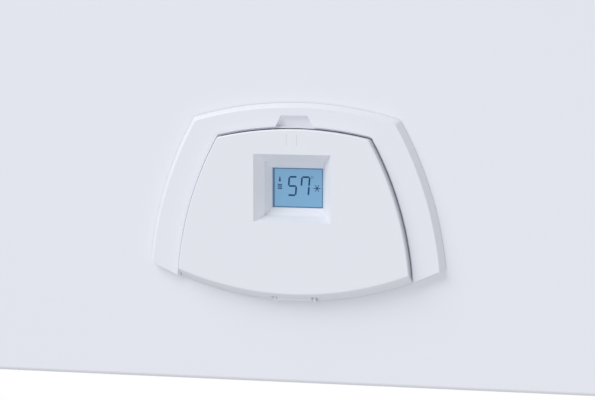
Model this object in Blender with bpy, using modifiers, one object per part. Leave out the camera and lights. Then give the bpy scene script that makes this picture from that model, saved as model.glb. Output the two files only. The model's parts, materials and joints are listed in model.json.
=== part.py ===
"""Wall-mounted room-sealed gas boiler, modelled piece by piece in metres.

Front faces -Y, up is +Z, and the wall is the plane y = 0. The origin is the middle of the wall bracket's back.
Heights named ..._UP are above the casing's lower edge, and ..._OUT is in front of the front cover's face.
"""

import math

import bmesh
import bpy
from mathutils import Matrix, Vector

# Casing
CASING_WIDTH = 0.400
CASING_DEPTH = 0.250
CASING_HEIGHT = 0.700
SHEET = 0.0010
COVER_SHEET = 0.0012
COVER_RETURN = 0.030
COVER_EDGE_RADIUS = 0.0025
PANEL_FLANGE = 0.018
BRACKET_DROP = 0.060
BRACKET_INSET = 0.050
BRACKET_WIDTH = CASING_WIDTH - 2 * BRACKET_INSET
BRACKET_HEIGHT = 0.046
BRACKET_SHEET = 0.0020
HOOK_REACH = 0.0080
HOOK_LIP = 0.0090
FRAME_SETBACK = 0.0060
FRAME_FLANGE_WIDTH = 0.0100
BOLT_SLOT_LENGTH = 0.022
BOLT_SLOT_WIDTH = 0.009
BOLT_SLOT_INSET = 0.050
BOLT_SLOT_SPACING = BRACKET_WIDTH - 2 * BOLT_SLOT_INSET
RAIL_SHARE = 0.44
RAIL_DEPTH = CASING_DEPTH * RAIL_SHARE
RAIL_SHEET = 0.0020

# Fits
SEAT_GAP = 0.0003
RUNNING_GAP = 0.0005
HOLE_GAP = 0.0010
CUT_OVERRUN = 0.004
MERGE_DISTANCE = 0.000001
ROUND_STEPS = 20

# Control panel pod, as its outline lies on the front cover
POD_TOP_UP = 0.1693
POD_TOP_CORNER_UP = 0.1599
POD_TOP_CORNER_HALF = 0.0650
POD_LOW_UP = 0.0498
POD_LOW_CORNER_UP = 0.0720
POD_LOW_CORNER_HALF = 0.0933
POD_SIDE_BOW = 0.0050
BEZEL_OUT = 0.0046
BEZEL_SIDE_RAKE = 0.0031
BEZEL_TOP_RAKE = 0.0027
BEZEL_LEG_WIDTH = 0.0165
BEZEL_RAIL_WIDTH = 0.0116
TRAY_WALL = 0.0020
TRAY_LOW_RISE = 0.0075
NOTCH_HALF_LOW = 0.0117
NOTCH_HALF_TOP = 0.0082
NOTCH_HEIGHT = 0.0066
NOTCH_DEPTH = 0.0030
ARC_STEPS = 12
SIDE_STEPS = 8

# Flap door
DOOR_OUT = 0.00875
DOOR_SIDE_GAP = 0.0014
DOOR_TOP_GAP = 0.0014
DOOR_LOW_RAKE = 0.0043
DOOR_BACK_OUT = 0.0007
DOOR_PLATE = 0.0025
DOOR_WALL = 0.0018
DOOR_EDGE_RADIUS = 0.0009
FUNNEL_DEPTH = 0.0060
FUNNEL_WALL = 0.0015
FUNNEL_SIDE_FLARE = 0.0052
FUNNEL_LOW_FLARE = 0.0033
FUNNEL_TOP_FLARE = 0.0043
SIGHT_SIDE_GAP = 0.0033
SIGHT_LOW_GAP = 0.0050
SIGHT_TOP_GAP = 0.0045
SURROUND_SIDE_RIM = 0.0020
SURROUND_LOW_RIM = 0.0012
SURROUND_TOP_RIM = 0.0015
GRIP_SLIT_OFFSET = 0.0032
GRIP_SLIT_WIDTH = 0.0009
GRIP_SLIT_LENGTH = 0.0066
GRIP_SLIT_GAP = 0.0054
GRIP_SLIT_DEPTH = 0.0006
HINGE_RISE = 0.0017
HINGE_UP = POD_LOW_UP + HINGE_RISE
HINGE_OUT = 0.0025
HINGE_PIN_RADIUS = 0.0009
KNUCKLE_RADIUS = 0.0018
KNUCKLE_HALF = 0.0109
HINGE_EAR_WIDTH = 0.0022
HINGE_GAP_WIDTH = 0.0042

# Control fascia behind the door
FASCIA_BACK = 0.0140
FASCIA_PLATE = 0.0020
DISPLAY_BACK = 0.0027
DISPLAY_HALF = 0.0157
DISPLAY_RISE = 0.0564
DISPLAY_HEIGHT = 0.0234
DISPLAY_LOW_UP = POD_LOW_UP + DISPLAY_RISE
DISPLAY_TOP_UP = DISPLAY_LOW_UP + DISPLAY_HEIGHT
DISPLAY_THICKNESS = 0.0050
WINDOW_HOLE_HALF = DISPLAY_HALF + SIGHT_SIDE_GAP
WINDOW_HOLE_LOW_UP = DISPLAY_LOW_UP - SIGHT_LOW_GAP
WINDOW_HOLE_TOP_UP = DISPLAY_TOP_UP + SIGHT_TOP_GAP
WINDOW_HALF = WINDOW_HOLE_HALF + FUNNEL_SIDE_FLARE
WINDOW_LOW_UP = WINDOW_HOLE_LOW_UP - FUNNEL_LOW_FLARE
WINDOW_TOP_UP = WINDOW_HOLE_TOP_UP + FUNNEL_TOP_FLARE
GRIP_SLIT_LOW_UP = WINDOW_TOP_UP + GRIP_SLIT_GAP
GRIP_SLIT_TOP_UP = GRIP_SLIT_LOW_UP + GRIP_SLIT_LENGTH
KNOB_OFFSET = 0.0430
KNOB_RISE = 0.0622
KNOB_UP = POD_LOW_UP + KNOB_RISE
KNOB_RADIUS = 0.0140
KNOB_HEIGHT = 0.0130
KNOB_SHAFT_RADIUS = 0.0030
KNOB_GRIP_WIDTH = 0.0045
BUTTON_RADIUS = 0.0036
BUTTON_GAP = 0.0009
BUTTON_UP = WINDOW_HOLE_LOW_UP - SURROUND_LOW_RIM - BUTTON_GAP - BUTTON_RADIUS
BUTTON_SPACING = 0.0120
BUTTON_PROUD = 0.0022
BUTTON_TRAVEL = 0.0010
POWER_BUTTON_OFFSET = 0.0400
POWER_BUTTON_RISE = 0.0282
POWER_BUTTON_UP = POD_LOW_UP + POWER_BUTTON_RISE
POWER_BUTTON_RADIUS = 0.0065
GAUGE_RADIUS = 0.0150
GAUGE_RISE = 0.0252
GAUGE_UP = POD_LOW_UP + GAUGE_RISE
GAUGE_RIM = 0.0016
GAUGE_PROUD = 0.0060
GAUGE_DEPTH = 0.0250
DIAL_SINK = 0.0035
NEEDLE_LENGTH = 0.0105
NEEDLE_WIDTH = 0.0012
NEEDLE_THICKNESS = 0.0006
NEEDLE_HUB_RADIUS = 0.0018
BOX_DEPTH = 0.0300
BOX_WALL = 0.0020
BOX_MARGIN = 0.0040
BOARD_THICKNESS = 0.0016
BOARD_STANDOFF = 0.0030
BOARD_PARTS = [  # left edge, foot below the board's top, width, height, depth
    (-0.0730, 0.0240, 0.0200, 0.0160, 0.0150),
    (0.0320, 0.0280, 0.0120, 0.0200, 0.0100),
    (0.0590, 0.0240, 0.0120, 0.0120, 0.0100),
    (-0.0780, 0.0980, 0.0320, 0.0080, 0.0075),
]

# Casing details
HOOK_WINDOW_HEIGHT = 0.0140
SLOT_STEPS = 16
CROSSBAR_DEPTH = 0.0420
CROSSBAR_HEIGHT = 0.0150
RAIL_LIP = 0.0100

# Connections under the casing, from left to right
CONNECTION_BACK = 0.0650
CONNECTION_SHARE = 0.1625
CONNECTION_PITCH = CASING_WIDTH * CONNECTION_SHARE
TAIL_DROP = 0.0200
LARGE_TAIL_RADIUS = 0.0132
LARGE_BORE_RADIUS = 0.0095
SMALL_TAIL_RADIUS = 0.01045
SMALL_BORE_RADIUS = 0.0075
TAIL_BORE_DEPTH = 0.0300
NUT_RADIUS = 0.0185
NUT_LOW_UP = RAIL_SHEET + SEAT_GAP
NUT_HEIGHT = 0.0160
PORT_RADIUS = 0.0150
GROUP_INNER_X = CONNECTION_PITCH - PORT_RADIUS
GROUP_OUTER_X = 2 * (CONNECTION_PITCH + PORT_RADIUS)

# Hydraulic groups
GROUP_UP = 0.0850
GROUP_RADIUS = 0.0200
EXCHANGER_BOSS_RADIUS = 0.0110
PLATE_PACK_SHARE = 0.2125
PLATE_PACK_HALF = CASING_WIDTH * PLATE_PACK_SHARE
PLATE_PACK_DEPTH = 0.0440
PLATE_PACK_LOW_UP = 0.0600
PLATE_PACK_HEIGHT = 0.0740
PLATE_COUNT = 10
PLATE_SHARE = 0.5
PLATE_GROOVE = 0.0020
END_PLATE = 0.0030
DIVERTER_SHIFT = 0.0050
DIVERTER_X = 2 * CONNECTION_PITCH - DIVERTER_SHIFT
DIVERTER_RADIUS = 0.0180
DIVERTER_LENGTH = 0.0420
DIVERTER_NECK = 0.0100
NECK_OVERLAP_SHARE = 1.5
PUMP_X = 2 * CONNECTION_PITCH
PUMP_UP = 0.1650
PUMP_RADIUS = 0.0360
PUMP_BODY_DEPTH = 0.0460
PUMP_MOTOR_RADIUS = 0.0400
PUMP_MOTOR_SHARE = 0.34
PUMP_MOTOR_LENGTH = CASING_DEPTH * PUMP_MOTOR_SHARE
PUMP_MOTOR_FINS = 5
PUMP_FIN_HEIGHT = 0.0035
MOTOR_FLANGE_SHARE = 0.12
PUMP_PORT_RADIUS = 0.0130
PUMP_OUTLET_SHIFT = 0.0300
PUMP_OUTLET_X = PUMP_X + PUMP_OUTLET_SHIFT
PUMP_OUTLET_UP = 0.2080
VENT_SHIFT = 0.0150
VENT_X = PUMP_X - VENT_SHIFT
VENT_RADIUS = 0.0130
VENT_HEIGHT = 0.0420
VENT_CAP_RADIUS = 0.0050
VENT_CAP_HEIGHT = 0.0060
VALVE_SHIFT = 0.0180
VALVE_X = PUMP_X - VALVE_SHIFT
VALVE_BODY_RADIUS = 0.0120
VALVE_BODY_LENGTH = 0.0260
VALVE_KNOB_RADIUS = 0.0150
VALVE_KNOB_LENGTH = 0.0200
FILL_STEP = 1.5
FILL_X = CONNECTION_PITCH * FILL_STEP
FILL_KNOB_GAP = 0.0020
FILL_KNOB_RADIUS = CONNECTION_PITCH / 2 - NUT_RADIUS - FILL_KNOB_GAP
FILL_STEM_SHARE = 2 / 3
FILL_STEM_RADIUS = FILL_KNOB_RADIUS * FILL_STEM_SHARE
FILL_KNOB_LOW_UP = -0.0120
FILL_KNOB_HEIGHT = 0.0220
KNOB_FLUTES = 8
FLUTE_PLACE_SHARE = 1.15
FLUTE_RADIUS_SHARE = 0.25
PORT_SHARE = 0.9
VESSEL_PORT_SHARE = 1.5

# Gas train
GAS_VALVE_HALF = 0.0380
GAS_VALVE_LOW_UP = 0.1950
GAS_VALVE_HEIGHT = 0.0700
GAS_VALVE_DEPTH = 0.0560
SOLENOID_RADIUS = 0.0140
SOLENOID_LENGTH = 0.0300
SOLENOID_OFFSET = 0.0190
GAS_PIPE_RADIUS = 0.0080
GAS_BEND_SHARE = 1.5
GAS_FLANGE_SHARE = 1.6
MANIFOLD_RADIUS = 0.0085
MANIFOLD_FRONT = 0.0080
INJECTOR_RADIUS = 0.0035

# Sealed chamber and what it holds
WATER_PIPE_RADIUS = 0.0090
VESSEL_SIDE_GAP = 0.0050
VESSEL_SHARE = 0.22
VESSEL_LEFT = VESSEL_SIDE_GAP - CASING_WIDTH / 2
VESSEL_RIGHT = VESSEL_LEFT + CASING_WIDTH * VESSEL_SHARE
CHAMBER_LEFT_GAP = 0.0090
CHAMBER_LEFT = VESSEL_RIGHT + CHAMBER_LEFT_GAP
CHAMBER_RIGHT = PUMP_OUTLET_X + 2 * WATER_PIPE_RADIUS
CHAMBER_BACK = 0.0150
CHAMBER_FRONT_GAP = 0.0350
CHAMBER_FRONT = CASING_DEPTH - CHAMBER_FRONT_GAP
GAS_VALVE_GAP = 0.0350
CHAMBER_LOW_UP = GAS_VALVE_LOW_UP + GAS_VALVE_HEIGHT + GAS_VALVE_GAP
CHAMBER_TOP_GAP = 0.0320
CHAMBER_TOP_UP = CASING_HEIGHT - CHAMBER_TOP_GAP
CHAMBER_HEIGHT = CHAMBER_TOP_UP - CHAMBER_LOW_UP
LID_RIM = 0.0160
CHAMBER_FOOT_WIDTH = 0.0200
CHAMBER_FOOT_INSET = 0.0400
FOOT_DROP = 0.0280
FOOT_TOP_UP = CHAMBER_TOP_UP - FOOT_DROP
HEAT_SIDE_GAP = 0.0360
HEAT_BACK_GAP = 0.0170
HEAT_FRONT_GAP = 0.0270
HEAT_CENTRE_X = (CHAMBER_LEFT + CHAMBER_RIGHT) / 2
HEAT_HALF = (CHAMBER_RIGHT - CHAMBER_LEFT) / 2 - HEAT_SIDE_GAP
HEAT_BACK = CHAMBER_BACK + HEAT_BACK_GAP
HEAT_FRONT = CHAMBER_FRONT - HEAT_FRONT_GAP
BURNER_RISE_SHARE = 0.136
BURNER_LOW_UP = CHAMBER_LOW_UP + CHAMBER_HEIGHT * BURNER_RISE_SHARE
BURNER_SHARE = 0.122
BURNER_HEIGHT = CHAMBER_HEIGHT * BURNER_SHARE
BURNER_BASE_SHARE = 0.18
BURNER_BASE = BURNER_HEIGHT * BURNER_BASE_SHARE
BURNER_LEG = 0.0020
BURNER_BARS = 11
BAR_SHARE = 0.42
BAR_NECK_SHARE = 0.55
BAR_HEAD_SHARE = 0.72
FIREBOX_SHARE = 0.293
FIREBOX_HEIGHT = CHAMBER_HEIGHT * FIREBOX_SHARE
INSULATION = 0.0100
FIN_COUNT = 24
FIN_SHARE = 0.35
FIN_BLOCK_SHARE = 0.136
FIN_BLOCK_HEIGHT = CHAMBER_HEIGHT * FIN_BLOCK_SHARE
FIN_CORE_SHARE = 0.44
FIN_CORE_HEIGHT = FIN_BLOCK_HEIGHT * FIN_CORE_SHARE
HEADER_THICKNESS = 0.0060
HEADER_OVERLAP_SHARE = 1.25
HOOD_SHARE = 0.076
HOOD_HEIGHT = CHAMBER_HEIGHT * HOOD_SHARE
HOOD_WALL = 0.0012
HOOD_STEPS = 20
FLUE_X = 0.0
FLUE_SHARE = 0.46
FLUE_Y = -CASING_DEPTH * FLUE_SHARE
FAN_SHIFT = 0.0620
FAN_X = FLUE_X + FAN_SHIFT
FAN_BACK = -FLUE_Y
FAN_NECK_RADIUS = 0.0280
FAN_NECK_HEIGHT = 0.0040
FAN_SHARE = 0.092
FAN_HEIGHT = CHAMBER_HEIGHT * FAN_SHARE
FAN_WALL = 0.0020
SCROLL_START = 0.0420
SCROLL_GROWTH = 0.0120
SCROLL_TURN_SHARE = 0.75
SCROLL_STEPS = 22
IMPELLER_RADIUS = 0.0360
IMPELLER_EYE = 0.0240
IMPELLER_BLADES = 12
BLADE_THICKNESS = 0.0012
BLADE_LENGTH = 0.0130
BLADE_SWEEP = 0.6
SHAFT_RADIUS = 0.0020
FAN_MOTOR_RADIUS = 0.0240
FAN_MOTOR_SHARE = 0.087
FAN_MOTOR_HEIGHT = CHAMBER_HEIGHT * FAN_MOTOR_SHARE
MOTOR_BASE_SHARE = 0.35
MOTOR_SHAFT_SHARE = 0.3
MOTOR_CAP_SHARE = 0.8
FLUE_RADIUS = 0.0300
FLUE_BORE_RADIUS = 0.0288
AIR_DUCT_RADIUS = 0.0500
AIR_BORE_RADIUS = 0.0488
COLLAR_FLANGE_RADIUS = 0.0580
COLLAR_PROUD = 0.0120
COLLAR_SPOKES = 3
SPOKE_WIDTH = 0.0020
COLLAR_STEPS = 28
COLLAR_STUB = 0.0100
SWITCH_RADIUS = 0.0240
SWITCH_DEPTH = 0.0200
SWITCH_RIM_SHARE = 0.4
SWITCH_REAR_SHARE = 0.7
SWITCH_PORT_SHARE = 1.4
SWITCH_DROP = 0.0680
SWITCH_UP = CHAMBER_TOP_UP - SWITCH_DROP
SWITCH_SETBACK = 0.0400
SWITCH_BACK = CHAMBER_FRONT - SWITCH_SETBACK
ELECTRODE_RADIUS = 0.0015
ELECTRODE_SLEEVE_RADIUS = 0.0035
ELECTRODE_SPACING = 0.0250
ELECTRODE_COUNT = 3
SLEEVE_LENGTH = 0.0260

# Expansion vessel
VESSEL_BACK = CHAMBER_BACK
VESSEL_FRONT = CHAMBER_FRONT
VESSEL_LOW_GAP = 0.0050
VESSEL_TOP_GAP = 0.0130
VESSEL_LOW_UP = CHAMBER_LOW_UP + VESSEL_LOW_GAP
VESSEL_TOP_UP = CHAMBER_TOP_UP - VESSEL_TOP_GAP
VESSEL_PAD = 0.0300
VESSEL_EDGE_RADIUS = 0.0180
SEAM_PROUD = 0.0020
SEAM_THICKNESS = 0.0030
VESSEL_WALL = 0.0018
THIN_PIPE_RADIUS = 0.0050
PIPE_BEND = 0.0200
PIPE_DROP_UP = 0.2200

FRONT_Y = -CASING_DEPTH
CASING_TOP = BRACKET_DROP
CASING_LOW = CASING_TOP - CASING_HEIGHT
CASING_HALF = CASING_WIDTH / 2
PI = math.pi
TINY = 1e-9
SHARP_ANGLE = math.radians(35)

for old in list(bpy.data.objects):
    bpy.data.objects.remove(old)

PARTS = bpy.data.collections.new("Gas boiler")
TOOLS = bpy.data.collections.new("Cutters and guides")
for group in (PARTS, TOOLS):
    bpy.context.scene.collection.children.link(group)


def up(height):
    """World z of a height above the casing's lower edge."""
    return CASING_LOW + height


def out(distance):
    """World y of a distance in front of the front cover's face."""
    return FRONT_Y - distance


def finish_of(name, colour, roughness, metallic=0.0):
    material = bpy.data.materials.new(name)
    material.use_nodes = True
    shader = material.node_tree.nodes["Principled BSDF"]
    shader.inputs["Base Color"].default_value = (*colour, 1.0)
    shader.inputs["Roughness"].default_value = roughness
    shader.inputs["Metallic"].default_value = metallic
    return material


WHITE_PAINT = (0.80, 0.81, 0.85)
WHITE_PLASTIC = (0.78, 0.79, 0.83)
GALVANISED = (0.62, 0.64, 0.66)
ALUMINIUM = (0.75, 0.75, 0.76)
COPPER = (0.80, 0.42, 0.28)
BRASS = (0.76, 0.60, 0.30)
STEEL = (0.66, 0.66, 0.67)
BLACK_PLASTIC = (0.03, 0.03, 0.03)
GREY_PLASTIC = (0.42, 0.44, 0.48)
FIBRE = (0.86, 0.84, 0.78)
RED = (0.62, 0.05, 0.04)
DISPLAY_BLUE = (0.18, 0.39, 0.63)
BOARD_GREEN = (0.03, 0.22, 0.10)
CLEAR = (0.90, 0.95, 0.97)


def add_object(name, data, colour, roughness=0.5, metallic=0.0):
    piece = bpy.data.objects.new(name, data)
    piece.data.materials.append(finish_of(name + "_finish", colour, roughness, metallic))
    PARTS.objects.link(piece)
    return piece


def from_bmesh(name, mesh_in_work, colour, roughness=0.5, metallic=0.0, smooth=False):
    data = bpy.data.meshes.new(name)
    bmesh.ops.recalc_face_normals(mesh_in_work, faces=mesh_in_work.faces)
    mesh_in_work.to_mesh(data)
    mesh_in_work.free()
    if smooth:
        data.shade_smooth()
        data.set_sharp_from_angle(angle=SHARP_ANGLE)
    return add_object(name, data, colour, roughness, metallic)


def block(name, low, high, colour, roughness=0.5, metallic=0.0):
    """A box between two corners."""
    low, high = Vector(low), Vector(high)
    work = bmesh.new()
    bmesh.ops.create_cube(work, size=1.0)
    size = high - low
    bmesh.ops.transform(work, matrix=Matrix.Diagonal((*size, 1.0)), verts=work.verts)
    bmesh.ops.translate(work, vec=(low + high) / 2, verts=work.verts)
    return from_bmesh(name, work, colour, roughness, metallic)


def along(axis):
    """The rotation that turns +Z to an axis."""
    return Vector((0, 0, 1)).rotation_difference(Vector(axis)).to_matrix().to_4x4()


def rod(name, start, end, radius, colour, roughness=0.4, metallic=0.0, steps=ROUND_STEPS):
    """A cylinder between two points."""
    start, end = Vector(start), Vector(end)
    work = bmesh.new()
    length = (end - start).length
    bmesh.ops.create_cone(work, cap_ends=True, segments=steps, radius1=radius, radius2=radius, depth=length)
    place = Matrix.Translation((start + end) / 2) @ along(end - start)
    bmesh.ops.transform(work, matrix=place, verts=work.verts)
    return from_bmesh(name, work, colour, roughness, metallic, smooth=True)


def turned(name, profile, base, axis, colour, roughness=0.4, metallic=0.0, steps=ROUND_STEPS):
    """A turned piece: profile lists (radius, distance along the axis) down its outer side; base is its foot."""
    data = bpy.data.meshes.new(name)
    points = [(radius, 0, distance) for radius, distance in profile]
    edges = [(i, i + 1) for i in range(len(points) - 1)]
    if profile[0][0] and profile[-1][0]:
        edges.append((len(points) - 1, 0))
    data.from_pydata(points, edges, [])
    piece = add_object(name, data, colour, roughness, metallic)
    piece.matrix_world = Matrix.Translation(base) @ along(axis)
    screw = piece.modifiers.new("Turn", "SCREW")
    screw.steps = screw.render_steps = steps
    screw.use_merge_vertices = True
    screw.merge_threshold = MERGE_DISTANCE
    return piece


def rounded_path(points, radius, steps=4):
    """The points of a bent tube's centre line, with each corner turned at one radius."""
    points = [Vector(p) for p in points]
    path = [points[0]]
    for before, corner, after in zip(points, points[1:], points[2:]):
        a, b = (before - corner).normalized(), (after - corner).normalized()
        angle = a.angle(b)
        reach = radius / math.tan(angle / 2)
        centre = corner + (a + b).normalized() * radius / math.sin(angle / 2)
        start = corner + a * reach - centre
        turn_axis = start.cross(corner + b * reach - centre).normalized()
        for i in range(steps + 1):
            path.append(centre + Matrix.Rotation((PI - angle) * i / steps, 3, turn_axis) @ start)
    return path + [points[-1]]


def tube(name, points, radius, bend, colour, roughness=0.3):
    """A bent pipe or wire with closed ends."""
    curve = bpy.data.curves.new(name, "CURVE")
    curve.dimensions = "3D"
    curve.bevel_depth = radius
    curve.bevel_resolution = 2
    curve.use_fill_caps = True
    path = rounded_path(points, bend)
    spline = curve.splines.new("POLY")
    spline.points.add(len(path) - 1)
    for point, place in zip(spline.points, path):
        point.co = (*place, 1.0)
    return add_object(name, curve, colour, roughness, 1.0)


def mesh_of(piece):
    """Turns a curve piece into a welded mesh, so that it can be cut or joined."""
    bpy.context.view_layer.update()
    evaluated = piece.evaluated_get(bpy.context.evaluated_depsgraph_get())
    data = bpy.data.meshes.new_from_object(evaluated)
    work = bmesh.new()
    work.from_mesh(data)
    bmesh.ops.remove_doubles(work, verts=work.verts, dist=MERGE_DISTANCE)
    bmesh.ops.recalc_face_normals(work, faces=work.faces)
    work.to_mesh(data)
    work.free()
    name, place = piece.name, piece.matrix_world.copy()
    bpy.data.objects.remove(piece)
    result = bpy.data.objects.new(name, data)
    result.matrix_world = place
    PARTS.objects.link(result)
    return result


def plate(name, outlines, low, thickness, axis, colour, roughness=0.5, metallic=0.0):
    """A flat plate: outlines lists the rim and then each hole, in the plate's own plane.

    axis is Z for a level plate with (x, y) points or Y for an upright one with (x, z) points, above low.
    """
    curve = bpy.data.curves.new(name, "CURVE")
    curve.dimensions = "2D"
    curve.fill_mode = "BOTH"
    curve.extrude = thickness / 2
    for outline in outlines:
        spline = curve.splines.new("POLY")
        spline.points.add(len(outline) - 1)
        for point, (a, b) in zip(spline.points, outline):
            point.co = (a, b, 0, 1)
        spline.use_cyclic_u = True
    piece = add_object(name, curve, colour, roughness, metallic)
    if axis == "Z":
        piece.matrix_world = Matrix.Translation((0, 0, low + thickness / 2))
    else:
        piece.matrix_world = Matrix.Translation((0, low + thickness / 2, 0)) @ Matrix.Rotation(PI / 2, 4, "X")
    return mesh_of(piece)


def ring(centre, radius, steps=ROUND_STEPS):
    return [
        (centre[0] + radius * math.cos(2 * PI * i / steps), centre[1] + radius * math.sin(2 * PI * i / steps))
        for i in range(steps)
    ]


def rectangle(low, high):
    return [(low[0], low[1]), (high[0], low[1]), (high[0], high[1]), (low[0], high[1])]


def folded(name, low, high, open_sides, thickness, colour, roughness=0.4, metallic=0.0):
    """A folded sheet-metal tray: a box of outer size without its open sides, thickened inwards."""
    low, high = Vector(low), Vector(high)
    work = bmesh.new()
    bmesh.ops.create_cube(work, size=1.0)
    bmesh.ops.transform(work, matrix=Matrix.Diagonal((*(high - low), 1.0)), verts=work.verts)
    bmesh.ops.translate(work, vec=(low + high) / 2, verts=work.verts)
    axes = {"x": 0, "y": 1, "z": 2}
    gone = []
    for face in work.faces:
        for side in open_sides:
            sign = 1 if side[0] == "+" else -1
            if face.normal[axes[side[1]]] * sign > 0.5:
                gone.append(face)
    bmesh.ops.delete(work, geom=gone, context="FACES")
    data = bpy.data.meshes.new(name)
    work.to_mesh(data)
    work.free()
    piece = add_object(name, data, colour, roughness, metallic)
    wall = piece.modifiers.new("Sheet", "SOLIDIFY")
    wall.thickness = thickness
    wall.offset = -1
    wall.use_even_offset = True
    return piece


def combine(piece, tool, operation):
    """Cuts a piece by a tool, or joins the tool to it. The tool becomes a guide that isn't a part."""
    change = piece.modifiers.new(operation.title(), "BOOLEAN")
    change.operation = operation
    change.solver = "EXACT"
    change.object = tool
    for group in tool.users_collection:
        group.objects.unlink(tool)
    TOOLS.objects.link(tool)
    tool.hide_render = True
    tool.display_type = "WIRE"
    return piece


def cut(piece, *tools):
    for tool in tools:
        combine(piece, tool, "DIFFERENCE")
    return piece


def join(piece, *tools):
    for tool in tools:
        combine(piece, tool, "UNION")
    return piece


def pivot(piece, place):
    """Moves a piece's origin to a point on its joint's axis."""
    offset = Vector(place) - piece.matrix_world.translation
    piece.data.transform(Matrix.Translation(-(piece.matrix_world.to_3x3().inverted() @ offset)))
    piece.matrix_world = Matrix.Translation(offset) @ piece.matrix_world
    return piece


# Casing: two side panels, a top panel and a lower crossbar stand on the back frame
panel_front = FRONT_Y + COVER_RETURN + HOLE_GAP
panel_back = -RUNNING_GAP
flange_edge = CASING_HALF - PANEL_FLANGE
for side, sign, open_side in (("left", -1, "+x"), ("right", 1, "-x")):
    xs = sorted((sign * CASING_HALF, sign * flange_edge))
    folded(
        side + "_side_panel",
        (xs[0], panel_front, CASING_LOW),
        (xs[1], panel_back, CASING_TOP),
        [open_side],
        SHEET,
        WHITE_PAINT,
        0.35,
    )

between = flange_edge - SEAT_GAP
collar_place = (FLUE_X, FLUE_Y)
top_panel = folded(
    "top_panel",
    (-between, panel_front, CASING_TOP - PANEL_FLANGE),
    (between, panel_back, CASING_TOP),
    ["-z"],
    SHEET,
    WHITE_PAINT,
    0.35,
)
cut(
    top_panel,
    rod(
        "collar_hole",
        (*collar_place, CASING_TOP - PANEL_FLANGE),
        (*collar_place, CASING_TOP + CUT_OVERRUN),
        AIR_DUCT_RADIUS + HOLE_GAP,
        WHITE_PAINT,
        steps=COLLAR_STEPS,
    ),
)

bar_front = FRONT_Y + COVER_SHEET + HOLE_GAP
bar_low = CASING_LOW + COVER_SHEET + SEAT_GAP
crossbar = folded(
    "lower_crossbar",
    (-between, bar_front, bar_low),
    (between, bar_front + CROSSBAR_DEPTH, bar_low + CROSSBAR_HEIGHT),
    ["+z", "+x", "-x"],
    SHEET,
    GALVANISED,
    0.45,
    0.8,
)


# Back frame, which hangs on the wall bracket's hook
FRAME_FRONT_Y = -FRAME_SETBACK - SHEET


def back_frame():
    """A shallow tray, open to the wall, with the window whose upper edge rests on the bracket's hook."""
    frame_back = -FRAME_SETBACK
    window_top = BRACKET_HEIGHT / 2 + SEAT_GAP
    piece = folded(
        "back_frame",
        (-between, FRAME_FRONT_Y, CASING_LOW + RAIL_SHEET + SEAT_GAP),
        (between, frame_back + FRAME_FLANGE_WIDTH / 2, CASING_TOP - PANEL_FLANGE - SEAT_GAP),
        ["+y"],
        SHEET,
        GALVANISED,
        0.45,
        0.8,
    )
    window = block(
        "hook_window",
        (-BRACKET_WIDTH / 2 - HOLE_GAP, frame_back - CUT_OVERRUN, window_top - HOOK_WINDOW_HEIGHT),
        (BRACKET_WIDTH / 2 + HOLE_GAP, frame_back + CUT_OVERRUN, window_top),
        GALVANISED,
    )
    return cut(piece, window)


back_frame()


# Wall bracket: a slotted strip with a hook along its upper edge
def wall_bracket():
    half, low, high = BRACKET_WIDTH / 2, -BRACKET_HEIGHT / 2, BRACKET_HEIGHT / 2
    shelf_low = high - BRACKET_SHEET
    slots = []
    for x in (-BOLT_SLOT_SPACING / 2, BOLT_SLOT_SPACING / 2):
        reach = (BOLT_SLOT_LENGTH - BOLT_SLOT_WIDTH) / 2
        slots.append(
            [
                (x + math.copysign(reach, math.cos(a)) + BOLT_SLOT_WIDTH / 2 * math.cos(a),
                 BOLT_SLOT_WIDTH / 2 * math.sin(a))
                for a in (2 * PI * (i + 0.5) / SLOT_STEPS for i in range(SLOT_STEPS))
            ]
        )
    strip = plate(
        "wall_bracket",
        [rectangle((-half, low), (half, high)), *slots],
        -BRACKET_SHEET,
        BRACKET_SHEET,
        "Y",
        GALVANISED,
        0.45,
        0.8,
    )
    shelf = block(
        "hook_shelf",
        (-half, -HOOK_REACH - BRACKET_SHEET, shelf_low),
        (half, -BRACKET_SHEET / 2, high),
        GALVANISED,
    )
    lip = block(
        "hook_lip",
        (-half, -HOOK_REACH - BRACKET_SHEET, shelf_low),
        (half, -HOOK_REACH, shelf_low + HOOK_LIP),
        GALVANISED,
    )
    return join(strip, shelf, lip)


wall_bracket()


# Pod outline: three pairs of circular arcs, inset by true offsets
def arc_through(a, b, bow, bulge):
    """The centre and radius of the arc from a to b that bulges by bow."""
    a, b, bulge = Vector(a), Vector(b), Vector(bulge).normalized()
    half = (b - a).length / 2
    radius = (half * half + bow * bow) / (2 * bow)
    return (a + b) / 2 - bulge * (radius - bow), radius


def crossing(first, second, near):
    """Where two circles meet, on the side of a given point."""
    (c1, r1), (c2, r2) = first, second
    line = c2 - c1
    reach = (line.length_squared + r1 * r1 - r2 * r2) / (2 * line.length)
    height = math.sqrt(r1 * r1 - reach * reach)
    foot = c1 + line.normalized() * reach
    across = Vector((-line.y, line.x)).normalized() * height
    return min((foot + across, foot - across), key=lambda p: (p - Vector(near)).length)


TOP_CORNER = (POD_TOP_CORNER_HALF, POD_TOP_CORNER_UP)
LOW_CORNER = (POD_LOW_CORNER_HALF, POD_LOW_CORNER_UP)
TOP_ARC = arc_through((-TOP_CORNER[0], TOP_CORNER[1]), TOP_CORNER, POD_TOP_UP - POD_TOP_CORNER_UP, (0, 1))
LOW_ARC = arc_through((-LOW_CORNER[0], LOW_CORNER[1]), LOW_CORNER, POD_LOW_CORNER_UP - POD_LOW_UP, (0, -1))
SIDE_ARC = arc_through(
    TOP_CORNER,
    LOW_CORNER,
    POD_SIDE_BOW,
    (POD_TOP_CORNER_UP - POD_LOW_CORNER_UP, POD_LOW_CORNER_HALF - POD_TOP_CORNER_HALF),
)


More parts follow.
